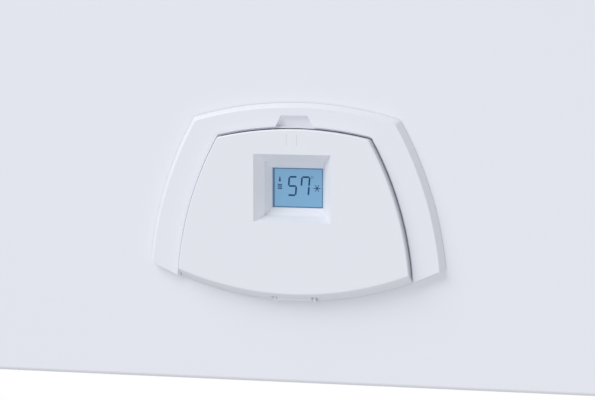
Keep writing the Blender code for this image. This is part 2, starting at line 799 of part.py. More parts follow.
def swept(arc, start, end, steps):
    """Points along an arc from start to end, without the last."""
    centre, radius = arc
    a = math.atan2(*reversed(start - centre))
    turn = math.remainder(math.atan2(*reversed(end - centre)) - a, 2 * PI)
    return [
        centre + radius * Vector((math.cos(a + turn * i / steps), math.sin(a + turn * i / steps)))
        for i in range(steps)
    ]


def pod_outline(side_inset, top_inset, low_inset):
    """The pod's outline as (x, height) points, inset at its sides, top and foot."""
    top = (TOP_ARC[0], TOP_ARC[1] - top_inset)
    low = (LOW_ARC[0], LOW_ARC[1] - low_inset)
    side = (SIDE_ARC[0], SIDE_ARC[1] - side_inset)
    high_right = crossing(top, side, TOP_CORNER)
    low_right = crossing(low, side, LOW_CORNER)
    mirror = Vector((-1, 1))
    left = (side[0] * mirror, side[1])
    points = swept(top, high_right, high_right * mirror, ARC_STEPS)
    points += swept(left, high_right * mirror, low_right * mirror, SIDE_STEPS)
    points += swept(low, low_right * mirror, low_right, ARC_STEPS)
    points += swept(side, low_right, high_right, SIDE_STEPS)
    return points


def loft(name, sections, colour, roughness=0.4, metallic=0.0):
    """A closed solid through sections, each an outline and how far it stands out from the front cover."""
    work = bmesh.new()
    loops = []
    for outline, distance in sections:
        loops.append([work.verts.new((x, out(distance), up(z))) for x, z in outline])
    for lower, upper in zip(loops, loops[1:]):
        count = len(lower)
        for i in range(count):
            j = (i + 1) % count
            work.faces.new((lower[i], lower[j], upper[j], upper[i]))
    work.faces.new(loops[0])
    work.faces.new(loops[-1])
    return from_bmesh(name, work, colour, roughness, metallic)


OPENING_SIDE = BEZEL_SIDE_RAKE + BEZEL_LEG_WIDTH
OPENING_TOP = BEZEL_TOP_RAKE + BEZEL_RAIL_WIDTH
TRAY_LOW = TRAY_LOW_RISE + TRAY_WALL
FASCIA_FRONT_OUT = -FASCIA_BACK
FASCIA_REAR_OUT = -FASCIA_BACK - FASCIA_PLATE


def front_cover():
    cover = folded(
        "front_cover",
        (-CASING_HALF, FRONT_Y, CASING_LOW),
        (CASING_HALF, FRONT_Y + COVER_RETURN, CASING_TOP),
        ["+y"],
        COVER_SHEET,
        WHITE_PAINT,
        0.30,
    )
    round_edges = cover.modifiers.new("Folded edges", "BEVEL")
    round_edges.width = COVER_EDGE_RADIUS
    round_edges.segments = 2
    round_edges.limit_method = "ANGLE"
    cover.modifiers.move(1, 0)
    ring_gap = HOLE_GAP + TRAY_WALL
    opening = pod_outline(OPENING_SIDE - ring_gap, OPENING_TOP - ring_gap, TRAY_LOW_RISE - HOLE_GAP)
    cut(cover, loft("pod_cut_out", [(opening, -CUT_OVERRUN), (opening, CUT_OVERRUN)], WHITE_PAINT))
    return cover


front_cover()


def panel_bezel():
    base = pod_outline(0, 0, 0)
    face = pod_outline(BEZEL_SIDE_RAKE, BEZEL_TOP_RAKE, 0)
    bezel = loft("panel_bezel", [(base, SEAT_GAP), (face, BEZEL_OUT)], WHITE_PLASTIC, 0.4)
    ring_out = pod_outline(OPENING_SIDE - TRAY_WALL, OPENING_TOP - TRAY_WALL, TRAY_LOW_RISE)
    ring_in = pod_outline(OPENING_SIDE, OPENING_TOP, TRAY_LOW)
    tray = loft("tray_ring", [(ring_out, FASCIA_REAR_OUT), (ring_out, BEZEL_OUT / 2)], WHITE_PLASTIC)
    way_back, way_front = DOOR_BACK_OUT - RUNNING_GAP, BEZEL_OUT + CUT_OVERRUN
    join(bezel, tray)
    door_way = pod_outline(OPENING_SIDE, OPENING_TOP, -CUT_OVERRUN)
    cut(bezel, loft("door_way", [(door_way, way_back), (door_way, way_front)], WHITE_PLASTIC))
    cut(bezel, loft("tray_hollow", [(ring_in, FASCIA_REAR_OUT - CUT_OVERRUN), (ring_in, way_front)],
                    WHITE_PLASTIC))
    sill_low = POD_LOW_UP + TRAY_LOW_RISE
    for sign in (-1, 1):
        near = sign * (KNUCKLE_HALF + RUNNING_GAP)
        far = near + sign * HINGE_EAR_WIDTH
        ear_front = out(HINGE_OUT + KNUCKLE_RADIUS)
        sides = sorted((near, far))
        for back, low in ((out(RUNNING_GAP), HINGE_UP - KNUCKLE_RADIUS),
                          (out(-TRAY_WALL), sill_low + SEAT_GAP)):
            join(bezel, block("hinge_ear", (sides[0], ear_front, up(low)),
                              (sides[1], back, up(sill_low + TRAY_WALL)), WHITE_PLASTIC))
    reach = KNUCKLE_HALF + HINGE_EAR_WIDTH + CUT_OVERRUN
    cut(bezel, hinge_rod("ear_bore", reach, HINGE_PIN_RADIUS + SEAT_GAP))
    rail_foot = POD_TOP_UP - OPENING_TOP
    scoop = [
        (-NOTCH_HALF_LOW, rail_foot - CUT_OVERRUN),
        (NOTCH_HALF_LOW, rail_foot - CUT_OVERRUN),
        (NOTCH_HALF_LOW, rail_foot),
        (NOTCH_HALF_TOP, rail_foot + NOTCH_HEIGHT),
        (-NOTCH_HALF_TOP, rail_foot + NOTCH_HEIGHT),
        (-NOTCH_HALF_LOW, rail_foot),
    ]
    scoop_floor = BEZEL_OUT - NOTCH_DEPTH
    cut(bezel, loft("finger_scoop", [(scoop, scoop_floor), (scoop, BEZEL_OUT + CUT_OVERRUN)], WHITE_PLASTIC))
    return bezel


def hinge_rod(name, half_length, radius):
    y, z = out(HINGE_OUT), up(HINGE_UP)
    return rod(name, (-half_length, y, z), (half_length, y, z), radius, STEEL, 0.3, 1.0, steps=12)


def window_outline(half, low, high):
    return rectangle((-half, low), (half, high))


def flap_door():
    side = OPENING_SIDE + DOOR_SIDE_GAP
    top = OPENING_TOP + DOOR_TOP_GAP
    edge = DOOR_EDGE_RADIUS
    foot = pod_outline(side, top, SEAT_GAP)
    shoulder_share = (DOOR_OUT - edge - DOOR_BACK_OUT) / (DOOR_OUT - DOOR_BACK_OUT)
    shoulder = pod_outline(side, top, DOOR_LOW_RAKE * shoulder_share)
    face = pod_outline(side + edge, top + edge, DOOR_LOW_RAKE + edge / 2)
    door = loft(
        "flap_door",
        [(foot, DOOR_BACK_OUT), (shoulder, DOOR_OUT - edge), (face, DOOR_OUT)],
        WHITE_PLASTIC,
        0.4,
    )
    hollow_foot = pod_outline(side + DOOR_WALL, top + DOOR_WALL, DOOR_WALL)
    hollow_roof = pod_outline(side + DOOR_WALL, top + DOOR_WALL, DOOR_LOW_RAKE * shoulder_share + DOOR_WALL)
    cut(door, loft("door_hollow", [(hollow_foot, DOOR_BACK_OUT - CUT_OVERRUN), (hollow_foot, DOOR_BACK_OUT),
                                   (hollow_roof, DOOR_OUT - DOOR_PLATE)], WHITE_PLASTIC))
    funnel_back = DOOR_OUT - FUNNEL_DEPTH
    plate_mid = DOOR_OUT - DOOR_PLATE / 2
    wide = [WINDOW_HALF + FUNNEL_WALL, WINDOW_LOW_UP - FUNNEL_WALL, WINDOW_TOP_UP + FUNNEL_WALL]
    narrow = [WINDOW_HOLE_HALF + FUNNEL_WALL, WINDOW_HOLE_LOW_UP - FUNNEL_WALL,
              WINDOW_HOLE_TOP_UP + FUNNEL_WALL]
    join(door,
         loft("funnel_wall", [(window_outline(*narrow), funnel_back), (window_outline(*wide), plate_mid)],
                    WHITE_PLASTIC))
    hole = [WINDOW_HOLE_HALF, WINDOW_HOLE_LOW_UP, WINDOW_HOLE_TOP_UP]
    mouth = [WINDOW_HALF, WINDOW_LOW_UP, WINDOW_TOP_UP]
    beyond = 1 + CUT_OVERRUN / FUNNEL_DEPTH
    flared = [a + (b - a) * beyond for a, b in zip(hole, mouth)]
    cut(door, loft("funnel_hole", [(window_outline(*hole), funnel_back - CUT_OVERRUN),
                                   (window_outline(*hole), funnel_back),
                                   (window_outline(*flared), DOOR_OUT + CUT_OVERRUN)], WHITE_PLASTIC))
    join(door, hinge_rod("door_knuckle", KNUCKLE_HALF, KNUCKLE_RADIUS))
    for sign in (-1, 1):
        xs = sorted((sign * KNUCKLE_HALF, sign * (KNUCKLE_HALF + HINGE_GAP_WIDTH)))
        cut(door, block(
            "hinge_gap",
            (xs[0], out(HINGE_OUT + KNUCKLE_RADIUS + HOLE_GAP), up(POD_LOW_UP - CUT_OVERRUN)),
            (xs[1], out(DOOR_BACK_OUT - CUT_OVERRUN), up(HINGE_UP + CUT_OVERRUN)),
            WHITE_PLASTIC,
        ))
        x = sign * GRIP_SLIT_OFFSET
        cut(door, block(
            "grip_slit",
            (x - GRIP_SLIT_WIDTH / 2, out(DOOR_OUT + CUT_OVERRUN), up(GRIP_SLIT_LOW_UP)),
            (x + GRIP_SLIT_WIDTH / 2, out(DOOR_OUT - GRIP_SLIT_DEPTH), up(GRIP_SLIT_TOP_UP)),
            WHITE_PLASTIC,
        ))
    cut(door, hinge_rod("knuckle_bore", KNUCKLE_HALF + CUT_OVERRUN, HINGE_PIN_RADIUS + SEAT_GAP))
    return pivot(door, (0, out(HINGE_OUT), up(HINGE_UP)))


panel_bezel()
flap_door()
hinge_rod("door_hinge_pin", KNUCKLE_HALF + HINGE_EAR_WIDTH, HINGE_PIN_RADIUS)


# Controls behind the door
def outward_rod(name, x, height, radius, back_out, front_out, colour, roughness=0.4, metallic=0.0,
                steps=ROUND_STEPS):
    """A round piece whose axis points out of the front cover."""
    start, end = (x, out(back_out), up(height)), (x, out(front_out), up(height))
    return rod(name, start, end, radius, colour, roughness, metallic, steps=steps)


def outward_turned(name, x, height, profile, colour, roughness=0.4):
    """A turned piece whose axis points out of the front cover; its distances are in front of the cover."""
    return turned(name, profile, (x, out(0), up(height)), (0, -1, 0), colour, roughness)


BOX_FRONT_OUT = FASCIA_REAR_OUT - SEAT_GAP
BOX_REAR_OUT = BOX_FRONT_OUT - BOX_DEPTH
BOARD_FRONT_OUT = BOX_FRONT_OUT - BOX_WALL - BOARD_STANDOFF
BUTTONS = [
    ("summer_button", -1.5 * BUTTON_SPACING, BUTTON_UP, BUTTON_RADIUS),
    ("winter_button", -0.5 * BUTTON_SPACING, BUTTON_UP, BUTTON_RADIUS),
    ("info_button", 0.5 * BUTTON_SPACING, BUTTON_UP, BUTTON_RADIUS),
    ("reset_button", 1.5 * BUTTON_SPACING, BUTTON_UP, BUTTON_RADIUS),
    ("power_button", POWER_BUTTON_OFFSET, POWER_BUTTON_UP, POWER_BUTTON_RADIUS),
]
KNOBS = [("heating_knob", -KNOB_OFFSET), ("hot_water_knob", KNOB_OFFSET)]


def control_holes():
    """Where the controls pass through the fascia and the box behind it: x, height and radius."""
    holes = [(x, height, radius + RUNNING_GAP) for _, x, height, radius in BUTTONS]
    holes += [(x, KNOB_UP, KNOB_SHAFT_RADIUS + RUNNING_GAP) for _, x in KNOBS]
    return holes + [(0, GAUGE_UP, GAUGE_RADIUS - GAUGE_RIM + RUNNING_GAP)]


def panel_fascia():
    rim = pod_outline(OPENING_SIDE + SEAT_GAP, OPENING_TOP + SEAT_GAP, TRAY_LOW + SEAT_GAP)
    fascia = plate("panel_fascia", [[(x, up(z)) for x, z in rim]], out(FASCIA_FRONT_OUT), FASCIA_PLATE, "Y",
                   WHITE_PLASTIC, 0.5)
    for x, height, radius in control_holes():
        cut(fascia, outward_rod("fascia_hole", x, height, radius, FASCIA_REAR_OUT - CUT_OVERRUN,
                                FASCIA_FRONT_OUT + CUT_OVERRUN, WHITE_PLASTIC))
    surround_front = DOOR_OUT - FUNNEL_DEPTH - RUNNING_GAP
    surround_half = WINDOW_HOLE_HALF + SURROUND_SIDE_RIM
    surround = block(
        "display_surround",
        (-surround_half, out(surround_front), up(WINDOW_HOLE_LOW_UP - SURROUND_LOW_RIM)),
        (surround_half, out(FASCIA_FRONT_OUT - FASCIA_PLATE / 2), up(WINDOW_HOLE_TOP_UP + SURROUND_TOP_RIM)),
        WHITE_PLASTIC,
    )
    join(fascia, surround)
    sill_out = -DISPLAY_BACK + SEAT_GAP
    sill = [DISPLAY_HALF + SEAT_GAP, DISPLAY_LOW_UP - SEAT_GAP, DISPLAY_TOP_UP + SEAT_GAP]
    mouth = [WINDOW_HOLE_HALF, WINDOW_HOLE_LOW_UP, WINDOW_HOLE_TOP_UP]
    beyond = 1 + CUT_OVERRUN / (surround_front - sill_out)
    flared = [a + (b - a) * beyond for a, b in zip(sill, mouth)]
    cut(fascia, loft("surround_slopes", [(window_outline(*sill), sill_out),
                                         (window_outline(*flared), surround_front + CUT_OVERRUN)], WHITE_PLASTIC))
    pocket = block(
        "display_pocket",
        (-DISPLAY_HALF - SEAT_GAP, out(CUT_OVERRUN), up(DISPLAY_LOW_UP - SEAT_GAP)),
        (DISPLAY_HALF + SEAT_GAP, out(-DISPLAY_BACK - DISPLAY_THICKNESS - SEAT_GAP),
         up(DISPLAY_TOP_UP + SEAT_GAP)),
        WHITE_PLASTIC,
    )
    return cut(fascia, pocket)


def control_knob(name, x):
    """A dial knob with a raised grip bar and its shaft."""
    foot = FASCIA_FRONT_OUT + RUNNING_GAP
    top = foot + KNOB_HEIGHT
    profile = [
        (0, top - KNOB_HEIGHT / 2),
        (KNOB_RADIUS - KNOB_GRIP_WIDTH / 2, top - KNOB_HEIGHT / 2),
        (KNOB_RADIUS, foot + KNOB_GRIP_WIDTH / 2),
        (KNOB_RADIUS, foot),
        (KNOB_SHAFT_RADIUS, foot),
        (KNOB_SHAFT_RADIUS, BOARD_FRONT_OUT + SEAT_GAP),
        (0, BOARD_FRONT_OUT + SEAT_GAP),
    ]
    knob = outward_turned(name, x, KNOB_UP, profile, WHITE_PLASTIC)
    grip_reach = KNOB_RADIUS - KNOB_GRIP_WIDTH / 2
    grip = block(
        "knob_grip",
        (x - KNOB_GRIP_WIDTH / 2, out(top), up(KNOB_UP - grip_reach)),
        (x + KNOB_GRIP_WIDTH / 2, out(foot + KNOB_HEIGHT / 4), up(KNOB_UP + grip_reach)),
        WHITE_PLASTIC,
    )
    return join(knob, grip)


def push_button(name, x, height, radius):
    """A domed cap on a plunger that reaches the switch on the circuit board."""
    top = FASCIA_FRONT_OUT + BUTTON_PROUD
    foot = BOARD_FRONT_OUT + BUTTON_TRAVEL + SEAT_GAP
    crown = BUTTON_PROUD / 3
    profile = [(0, top), (radius - crown, top), (radius, top - crown), (radius, foot), (0, foot)]
    return outward_turned(name, x, height, profile, GREY_PLASTIC, 0.45)


def pressure_gauge():
    """The gauge's cup with its dial floor, and the glass and needle in it."""
    rim = FASCIA_FRONT_OUT + GAUGE_PROUD
    floor = rim - DIAL_SINK
    inner = GAUGE_RADIUS - GAUGE_RIM
    profile = [
        (0, floor),
        (inner, floor),
        (inner, rim),
        (GAUGE_RADIUS, rim),
        (GAUGE_RADIUS, FASCIA_FRONT_OUT + SEAT_GAP),
        (inner, FASCIA_FRONT_OUT + SEAT_GAP),
        (inner, FASCIA_FRONT_OUT - GAUGE_DEPTH),
        (0, FASCIA_FRONT_OUT - GAUGE_DEPTH),
    ]
    outward_turned("pressure_gauge", 0, GAUGE_UP, profile, BLACK_PLASTIC, 0.5)
    glass_back = rim - NEEDLE_THICKNESS * 2
    outward_rod("gauge_glass", 0, GAUGE_UP, inner - SEAT_GAP, glass_back, rim - SEAT_GAP, CLEAR, 0.05)
    foot = floor + SEAT_GAP
    hub = outward_rod("gauge_needle", 0, GAUGE_UP, NEEDLE_HUB_RADIUS, foot, glass_back - SEAT_GAP, RED, 0.4,
                      0, 12)
    pointer = block(
        "needle_pointer",
        (-NEEDLE_WIDTH / 2, out(foot + NEEDLE_THICKNESS * 2), up(GAUGE_UP - NEEDLE_HUB_RADIUS * 2)),
        (NEEDLE_WIDTH / 2, out(foot + NEEDLE_THICKNESS), up(GAUGE_UP + NEEDLE_LENGTH)),
        RED,
    )
    return join(hub, pointer)


def control_box():
    """The closed housing behind the fascia, with two arms that stand on the lower crossbar."""
    half = POD_LOW_CORNER_HALF
    low, high = POD_LOW_UP + TRAY_LOW_RISE - BOX_MARGIN, POD_TOP_UP
    box = block("control_box", (-half, out(BOX_FRONT_OUT), up(low)), (half, out(BOX_REAR_OUT), up(high)),
                GREY_PLASTIC, 0.55)
    inner = BOX_WALL
    cavity = block(
        "box_cavity",
        (-half + inner, out(BOX_FRONT_OUT - inner), up(low + inner)),
        (half - inner, out(BOX_REAR_OUT - CUT_OVERRUN), up(high - inner)),
        GREY_PLASTIC,
    )
    cut(box, cavity)
    for x, height, radius in control_holes():
        cut(box, outward_rod("box_hole", x, height, radius, BOX_FRONT_OUT - inner * 2,
                             BOX_FRONT_OUT + CUT_OVERRUN, GREY_PLASTIC))
    arm_low = COVER_SHEET + SEAT_GAP + SHEET + SEAT_GAP
    for sign in (-1, 1):
        xs = sorted((sign * (half - BOX_MARGIN), sign * (half - BOX_MARGIN * 4)))
        join(box, block("box_arm", (xs[0], out(BOX_FRONT_OUT), up(arm_low)),
                        (xs[1], out(BOX_FRONT_OUT - BOX_MARGIN * 2), up(low + inner / 2)), GREY_PLASTIC))
    return box


def circuit_board():
    half = POD_LOW_CORNER_HALF - BOX_WALL - SEAT_GAP
    low = POD_LOW_UP + TRAY_LOW_RISE - BOX_MARGIN + BOX_WALL + SEAT_GAP
    high = POD_TOP_UP - BOX_WALL - SEAT_GAP
    gauge_hole = ring((0, up(GAUGE_UP)), GAUGE_RADIUS - GAUGE_RIM + RUNNING_GAP)
    board = plate("circuit_board", [rectangle((-half, up(low)), (half, up(high))), gauge_hole],
                  out(BOARD_FRONT_OUT), BOARD_THICKNESS, "Y", BOARD_GREEN, 0.4)
    back = BOARD_FRONT_OUT - BOARD_THICKNESS / 2
    for x, drop, wide, tall, deep in BOARD_PARTS:
        join(board, block("board_part", (x, out(back), up(high - drop)),
                          (x + wide, out(back - deep), up(high - drop + tall)), BLACK_PLASTIC))
    return board


panel_fascia()
block(
    "display_screen",
    (-DISPLAY_HALF, out(-DISPLAY_BACK), up(DISPLAY_LOW_UP)),
    (DISPLAY_HALF, out(-DISPLAY_BACK - DISPLAY_THICKNESS), up(DISPLAY_TOP_UP)),
    DISPLAY_BLUE,
    0.2,
)
for name, x in KNOBS:
    control_knob(name, x)
for button in BUTTONS:
    push_button(*button)
pressure_gauge()
control_box()
circuit_board()


# Connections: five tails with their union nuts under the hydraulic groups
CONNECTIONS = [
    ("heating_flow_tail", -2, LARGE_TAIL_RADIUS, LARGE_BORE_RADIUS),
    ("hot_water_tail", -1, SMALL_TAIL_RADIUS, SMALL_BORE_RADIUS),
    ("gas_tail", 0, LARGE_TAIL_RADIUS, LARGE_BORE_RADIUS),
    ("cold_water_tail", 1, SMALL_TAIL_RADIUS, SMALL_BORE_RADIUS),
    ("heating_return_tail", 2, LARGE_TAIL_RADIUS, LARGE_BORE_RADIUS),
]
NUT_TOP_UP = NUT_LOW_UP + NUT_HEIGHT
PIPE_Y = -CONNECTION_BACK


def upright(name, x, y, low, high, radius, colour, roughness=0.4, metallic=1.0, steps=ROUND_STEPS):
    return rod(name, (x, y, up(low)), (x, y, up(high)), radius, colour, roughness, metallic, steps=steps)


def connection_tail(name, step, radius, bore):
    """A short threaded tail with its hexagon: the connecting pipe of the house is screwed on its lower end."""
    x = step * CONNECTION_PITCH
    tail = upright(name, x, PIPE_Y, -TAIL_DROP, NUT_TOP_UP, radius, BRASS, 0.35)
    join(tail,
         upright("tail_hexagon", x, PIPE_Y, NUT_LOW_UP, NUT_TOP_UP + RUNNING_GAP, NUT_RADIUS, BRASS, steps=6))
    return cut(tail, upright("tail_bore", x, PIPE_Y, -TAIL_DROP - CUT_OVERRUN, TAIL_BORE_DEPTH - TAIL_DROP,
                             bore, BRASS))


def bottom_rail():
    holes = [ring((step * CONNECTION_PITCH, PIPE_Y), radius + HOLE_GAP) for _, step, radius, _ in CONNECTIONS]
    holes.append(ring((FILL_X, PIPE_Y), FILL_KNOB_RADIUS + HOLE_GAP))
    rim = rectangle((-between, -RAIL_DEPTH), (between, -RUNNING_GAP))
    rail = plate("bottom_rail", [rim, *holes], CASING_LOW, RAIL_SHEET, "Z", GALVANISED, 0.45, 0.8)
    lip = block("rail_lip", (-between, -RAIL_DEPTH, CASING_LOW + RAIL_SHEET / 2),
                (between, -RAIL_DEPTH + RAIL_SHEET, CASING_LOW + RAIL_LIP), GALVANISED)
    return join(rail, lip)


bottom_rail()
for tail in CONNECTIONS:
    connection_tail(*tail)


# Hydraulic groups between the tails: brass bodies lying across, with their ports
def water_group(name, sign, tail_steps):
    """A horizontal body with a port down to each of its tails and a boss forward to the plate exchanger."""
    xs = sorted((sign * GROUP_INNER_X, sign * GROUP_OUTER_X))
    y, z = PIPE_Y, up(GROUP_UP)
    group = rod(name, (xs[0], y, z), (xs[1], y, z), GROUP_RADIUS, BRASS, 0.35, 1.0)
    for step in tail_steps:
        x = step * CONNECTION_PITCH
        join(group,
             upright("group_port", x, y, NUT_TOP_UP + SEAT_GAP + RUNNING_GAP, GROUP_UP, PORT_RADIUS, BRASS))
    boss_x = sign * (PLATE_PACK_HALF - EXCHANGER_BOSS_RADIUS * 2)
    boss_end = -PACK_BACK + SEAT_GAP
    return join(group,
                rod("exchanger_boss", (boss_x, y, z), (boss_x, boss_end, z), EXCHANGER_BOSS_RADIUS, BRASS))


PACK_BACK = CONNECTION_BACK + GROUP_RADIUS + EXCHANGER_BOSS_RADIUS


def flow_group():
    group = water_group("flow_group", -1, (-2, -1))
    top = GROUP_UP + GROUP_RADIUS + PORT_RADIUS
    join(group, upright("flow_inlet", -FLOW_PIPE_X, PIPE_Y, GROUP_UP, top, PUMP_PORT_RADIUS, BRASS))
    return join(group, upright("vessel_inlet", -GROUP_OUTER_X + THIN_PIPE_RADIUS * 2, PIPE_Y, GROUP_UP, top,
                               THIN_PIPE_RADIUS * VESSEL_PORT_SHARE, BRASS))


def return_group():
    group = water_group("return_group", 1, (1, 2))
    join(group, upright("filling_port", FILL_X, PIPE_Y, FILL_TOP_UP + SEAT_GAP, GROUP_UP,
                        FILL_KNOB_RADIUS * PORT_SHARE,
                        BRASS))
    y = PIPE_Y - GROUP_RADIUS - VALVE_BODY_LENGTH
    return join(group,
                rod("safety_port", (VALVE_X, PIPE_Y, up(GROUP_UP)), (VALVE_X, y + SEAT_GAP, up(GROUP_UP)),
                           VALVE_BODY_RADIUS * PORT_SHARE, BRASS))


FLOW_PIPE_X = 2 * CONNECTION_PITCH
FILL_TOP_UP = FILL_KNOB_LOW_UP + FILL_KNOB_HEIGHT + FILL_STEM_RADIUS * 2


def fluted_knob(name, base, axis, stem_radius, stem_length, radius, length, colour):
    """A hand knob whose rim has finger flutes, on a short stem. The base is the stem's foot."""
    base, axis = Vector(base), Vector(axis)
    foot = base + axis * stem_length
    knob = rod(name, foot, foot + axis * length, radius, colour, 0.45)
    turn = along(axis)
    for i in range(KNOB_FLUTES):
        angle = 2 * PI * i / KNOB_FLUTES
        side = turn @ Vector((math.cos(angle), math.sin(angle), 0)) * radius * FLUTE_PLACE_SHARE
        cut(knob,
            rod("knob_flute", foot + side - axis * CUT_OVERRUN, foot + side + axis * (length + CUT_OVERRUN),
                      radius * FLUTE_RADIUS_SHARE, colour, steps=10))
    join(knob, rod("knob_stem", base, foot + axis * length / 2, stem_radius, colour))
    return pivot(knob, base)


def plate_exchanger():
    """The brazed pack of thin plates between two end plates."""
    half, back = PLATE_PACK_HALF, -PACK_BACK
    pitch = (PLATE_PACK_DEPTH - 2 * END_PLATE) / PLATE_COUNT
    low, high = PLATE_PACK_LOW_UP, PLATE_PACK_LOW_UP + PLATE_PACK_HEIGHT
    pack = block("plate_exchanger", (-half, back - PLATE_PACK_DEPTH, up(low)), (half, back, up(high)), STEEL,
                 0.3, 1.0)
    core = block("pack_core", (-half * 2, back - PLATE_PACK_DEPTH + END_PLATE, up(low) - CUT_OVERRUN),
                 (half * 2, back - END_PLATE, up(high) + CUT_OVERRUN), STEEL)
    inner = PLATE_GROOVE
    keep = block("pack_keep", (-half + inner, back - PLATE_PACK_DEPTH, up(low) + inner),
                 (half - inner, back, up(high) - inner), STEEL)
    cut(pack, core)
    join(pack, keep)
    for i in range(PLATE_COUNT):
        y = back - END_PLATE - pitch * (i + 0.5)
        join(pack, block("thin_plate", (-half, y - pitch * PLATE_SHARE / 2, up(low)),
                         (half, y + pitch * PLATE_SHARE / 2, up(high)), STEEL))
    return pack


def diverter_motor():
    """The small motor that moves the three-way valve, in front of the flow group."""
    start = PIPE_Y - GROUP_RADIUS - SEAT_GAP
    z = up(GROUP_UP)
    neck = rod("diverter_motor", (-DIVERTER_X, start, z),
               (-DIVERTER_X, start - DIVERTER_NECK * NECK_OVERLAP_SHARE, z),
               DIVERTER_RADIUS / 2, BLACK_PLASTIC, 0.5)
    back = start - DIVERTER_NECK
    body = block("diverter_body", (-DIVERTER_X - DIVERTER_RADIUS, back - DIVERTER_LENGTH, z - DIVERTER_RADIUS),
                 (-DIVERTER_X + DIVERTER_RADIUS, back, z + DIVERTER_RADIUS), BLACK_PLASTIC)
    return join(neck, body)


def pump():
    """The circulator: a brass volute on the return group, with its motor facing forward and an air vent."""
    y, z = PIPE_Y, up(PUMP_UP)
    depth = PUMP_BODY_DEPTH / 2
    body = rod("pump_body", (PUMP_X, y + depth, z), (PUMP_X, y - depth, z), PUMP_RADIUS, BRASS, 0.4, 1.0)
    group_top = GROUP_UP + GROUP_RADIUS + SEAT_GAP
    join(body, upright("pump_inlet", PUMP_X, y, group_top, PUMP_UP, PUMP_PORT_RADIUS, BRASS))
    join(body, upright("pump_outlet", PUMP_OUTLET_X, y, PUMP_UP, PUMP_OUTLET_UP, PUMP_PORT_RADIUS, BRASS))
    join(body, upright("vent_boss", VENT_X, y, PUMP_UP, PUMP_OUTLET_UP, VENT_RADIUS, BRASS))
    front = y - depth - SEAT_GAP
    foot = front - PUMP_MOTOR_LENGTH * MOTOR_FLANGE_SHARE
    motor = rod("pump_motor", (PUMP_X, front, z), (PUMP_X, foot, z), PUMP_MOTOR_RADIUS, BLACK_PLASTIC, 0.45)
    end = front - PUMP_MOTOR_LENGTH
    join(motor, rod("motor_can", (PUMP_X, front - SHEET, z), (PUMP_X, end, z),
                    PUMP_MOTOR_RADIUS - PUMP_FIN_HEIGHT, BLACK_PLASTIC))
    for i in range(PUMP_MOTOR_FINS):
        at = foot - (foot - end) * (i + 0.5) / PUMP_MOTOR_FINS
        join(motor, rod("motor_rib", (PUMP_X, at, z), (PUMP_X, at - PUMP_FIN_HEIGHT, z), PUMP_MOTOR_RADIUS,
                        BLACK_PLASTIC))
    low = PUMP_OUTLET_UP + SEAT_GAP
    vent = upright("air_vent", VENT_X, y, low, low + VENT_HEIGHT, VENT_RADIUS, BRASS, 0.35, steps=16)
    join(vent, upright("vent_cap", VENT_X, y, low + VENT_HEIGHT / 2, low + VENT_HEIGHT + VENT_CAP_HEIGHT,
                       VENT_CAP_RADIUS, BLACK_PLASTIC, steps=12))
    return body


flow_group()
return_group()
plate_exchanger()
diverter_motor()
pump()
fluted_knob("filling_knob", (FILL_X, PIPE_Y, up(FILL_TOP_UP)), (0, 0, -1), FILL_STEM_RADIUS,
            FILL_STEM_RADIUS * 2,
            FILL_KNOB_RADIUS, FILL_KNOB_HEIGHT, BLACK_PLASTIC)
fluted_knob("safety_valve_knob", (VALVE_X, PIPE_Y - GROUP_RADIUS - VALVE_BODY_LENGTH, up(GROUP_UP)),
            (0, -1, 0),
            VALVE_BODY_RADIUS / 2, VALVE_BODY_RADIUS / 2, VALVE_KNOB_RADIUS, VALVE_KNOB_LENGTH, RED)


# Gas train
def gas_valve():
    """The cast gas valve over its tail, with two solenoids on its front."""
    y = PIPE_Y
    depth = GAS_VALVE_DEPTH / 2
    low, high = GAS_VALVE_LOW_UP, GAS_VALVE_LOW_UP + GAS_VALVE_HEIGHT
    valve = block("gas_valve", (-GAS_VALVE_HALF, y - depth, up(low)), (GAS_VALVE_HALF, y + depth, up(high)),
                  ALUMINIUM, 0.45, 1.0)
    for x in (-SOLENOID_OFFSET, SOLENOID_OFFSET):
        mid = up(low + GAS_VALVE_HEIGHT / 2)
        join(valve, rod("solenoid", (x, y, mid), (x, y - depth - SOLENOID_LENGTH, mid), SOLENOID_RADIUS,
                        BLACK_PLASTIC))
    for x, start, end in ((0, low - GAS_PIPE_RADIUS * 2, low),
                          (GAS_OUTLET_X, high, high + GAS_PIPE_RADIUS * 2)):
        join(valve, upright("gas_flange", x, y, start - SHEET, end + SHEET,
                            GAS_PIPE_RADIUS * GAS_FLANGE_SHARE, ALUMINIUM,
                            steps=16))
    return valve


GAS_OUTLET_X = SOLENOID_OFFSET
MANIFOLD_Y = -HEAT_FRONT - MANIFOLD_FRONT - MANIFOLD_RADIUS
MANIFOLD_UP = BURNER_LOW_UP + BURNER_BASE * 2
BAR_PITCH = 2 * HEAT_HALF / BURNER_BARS


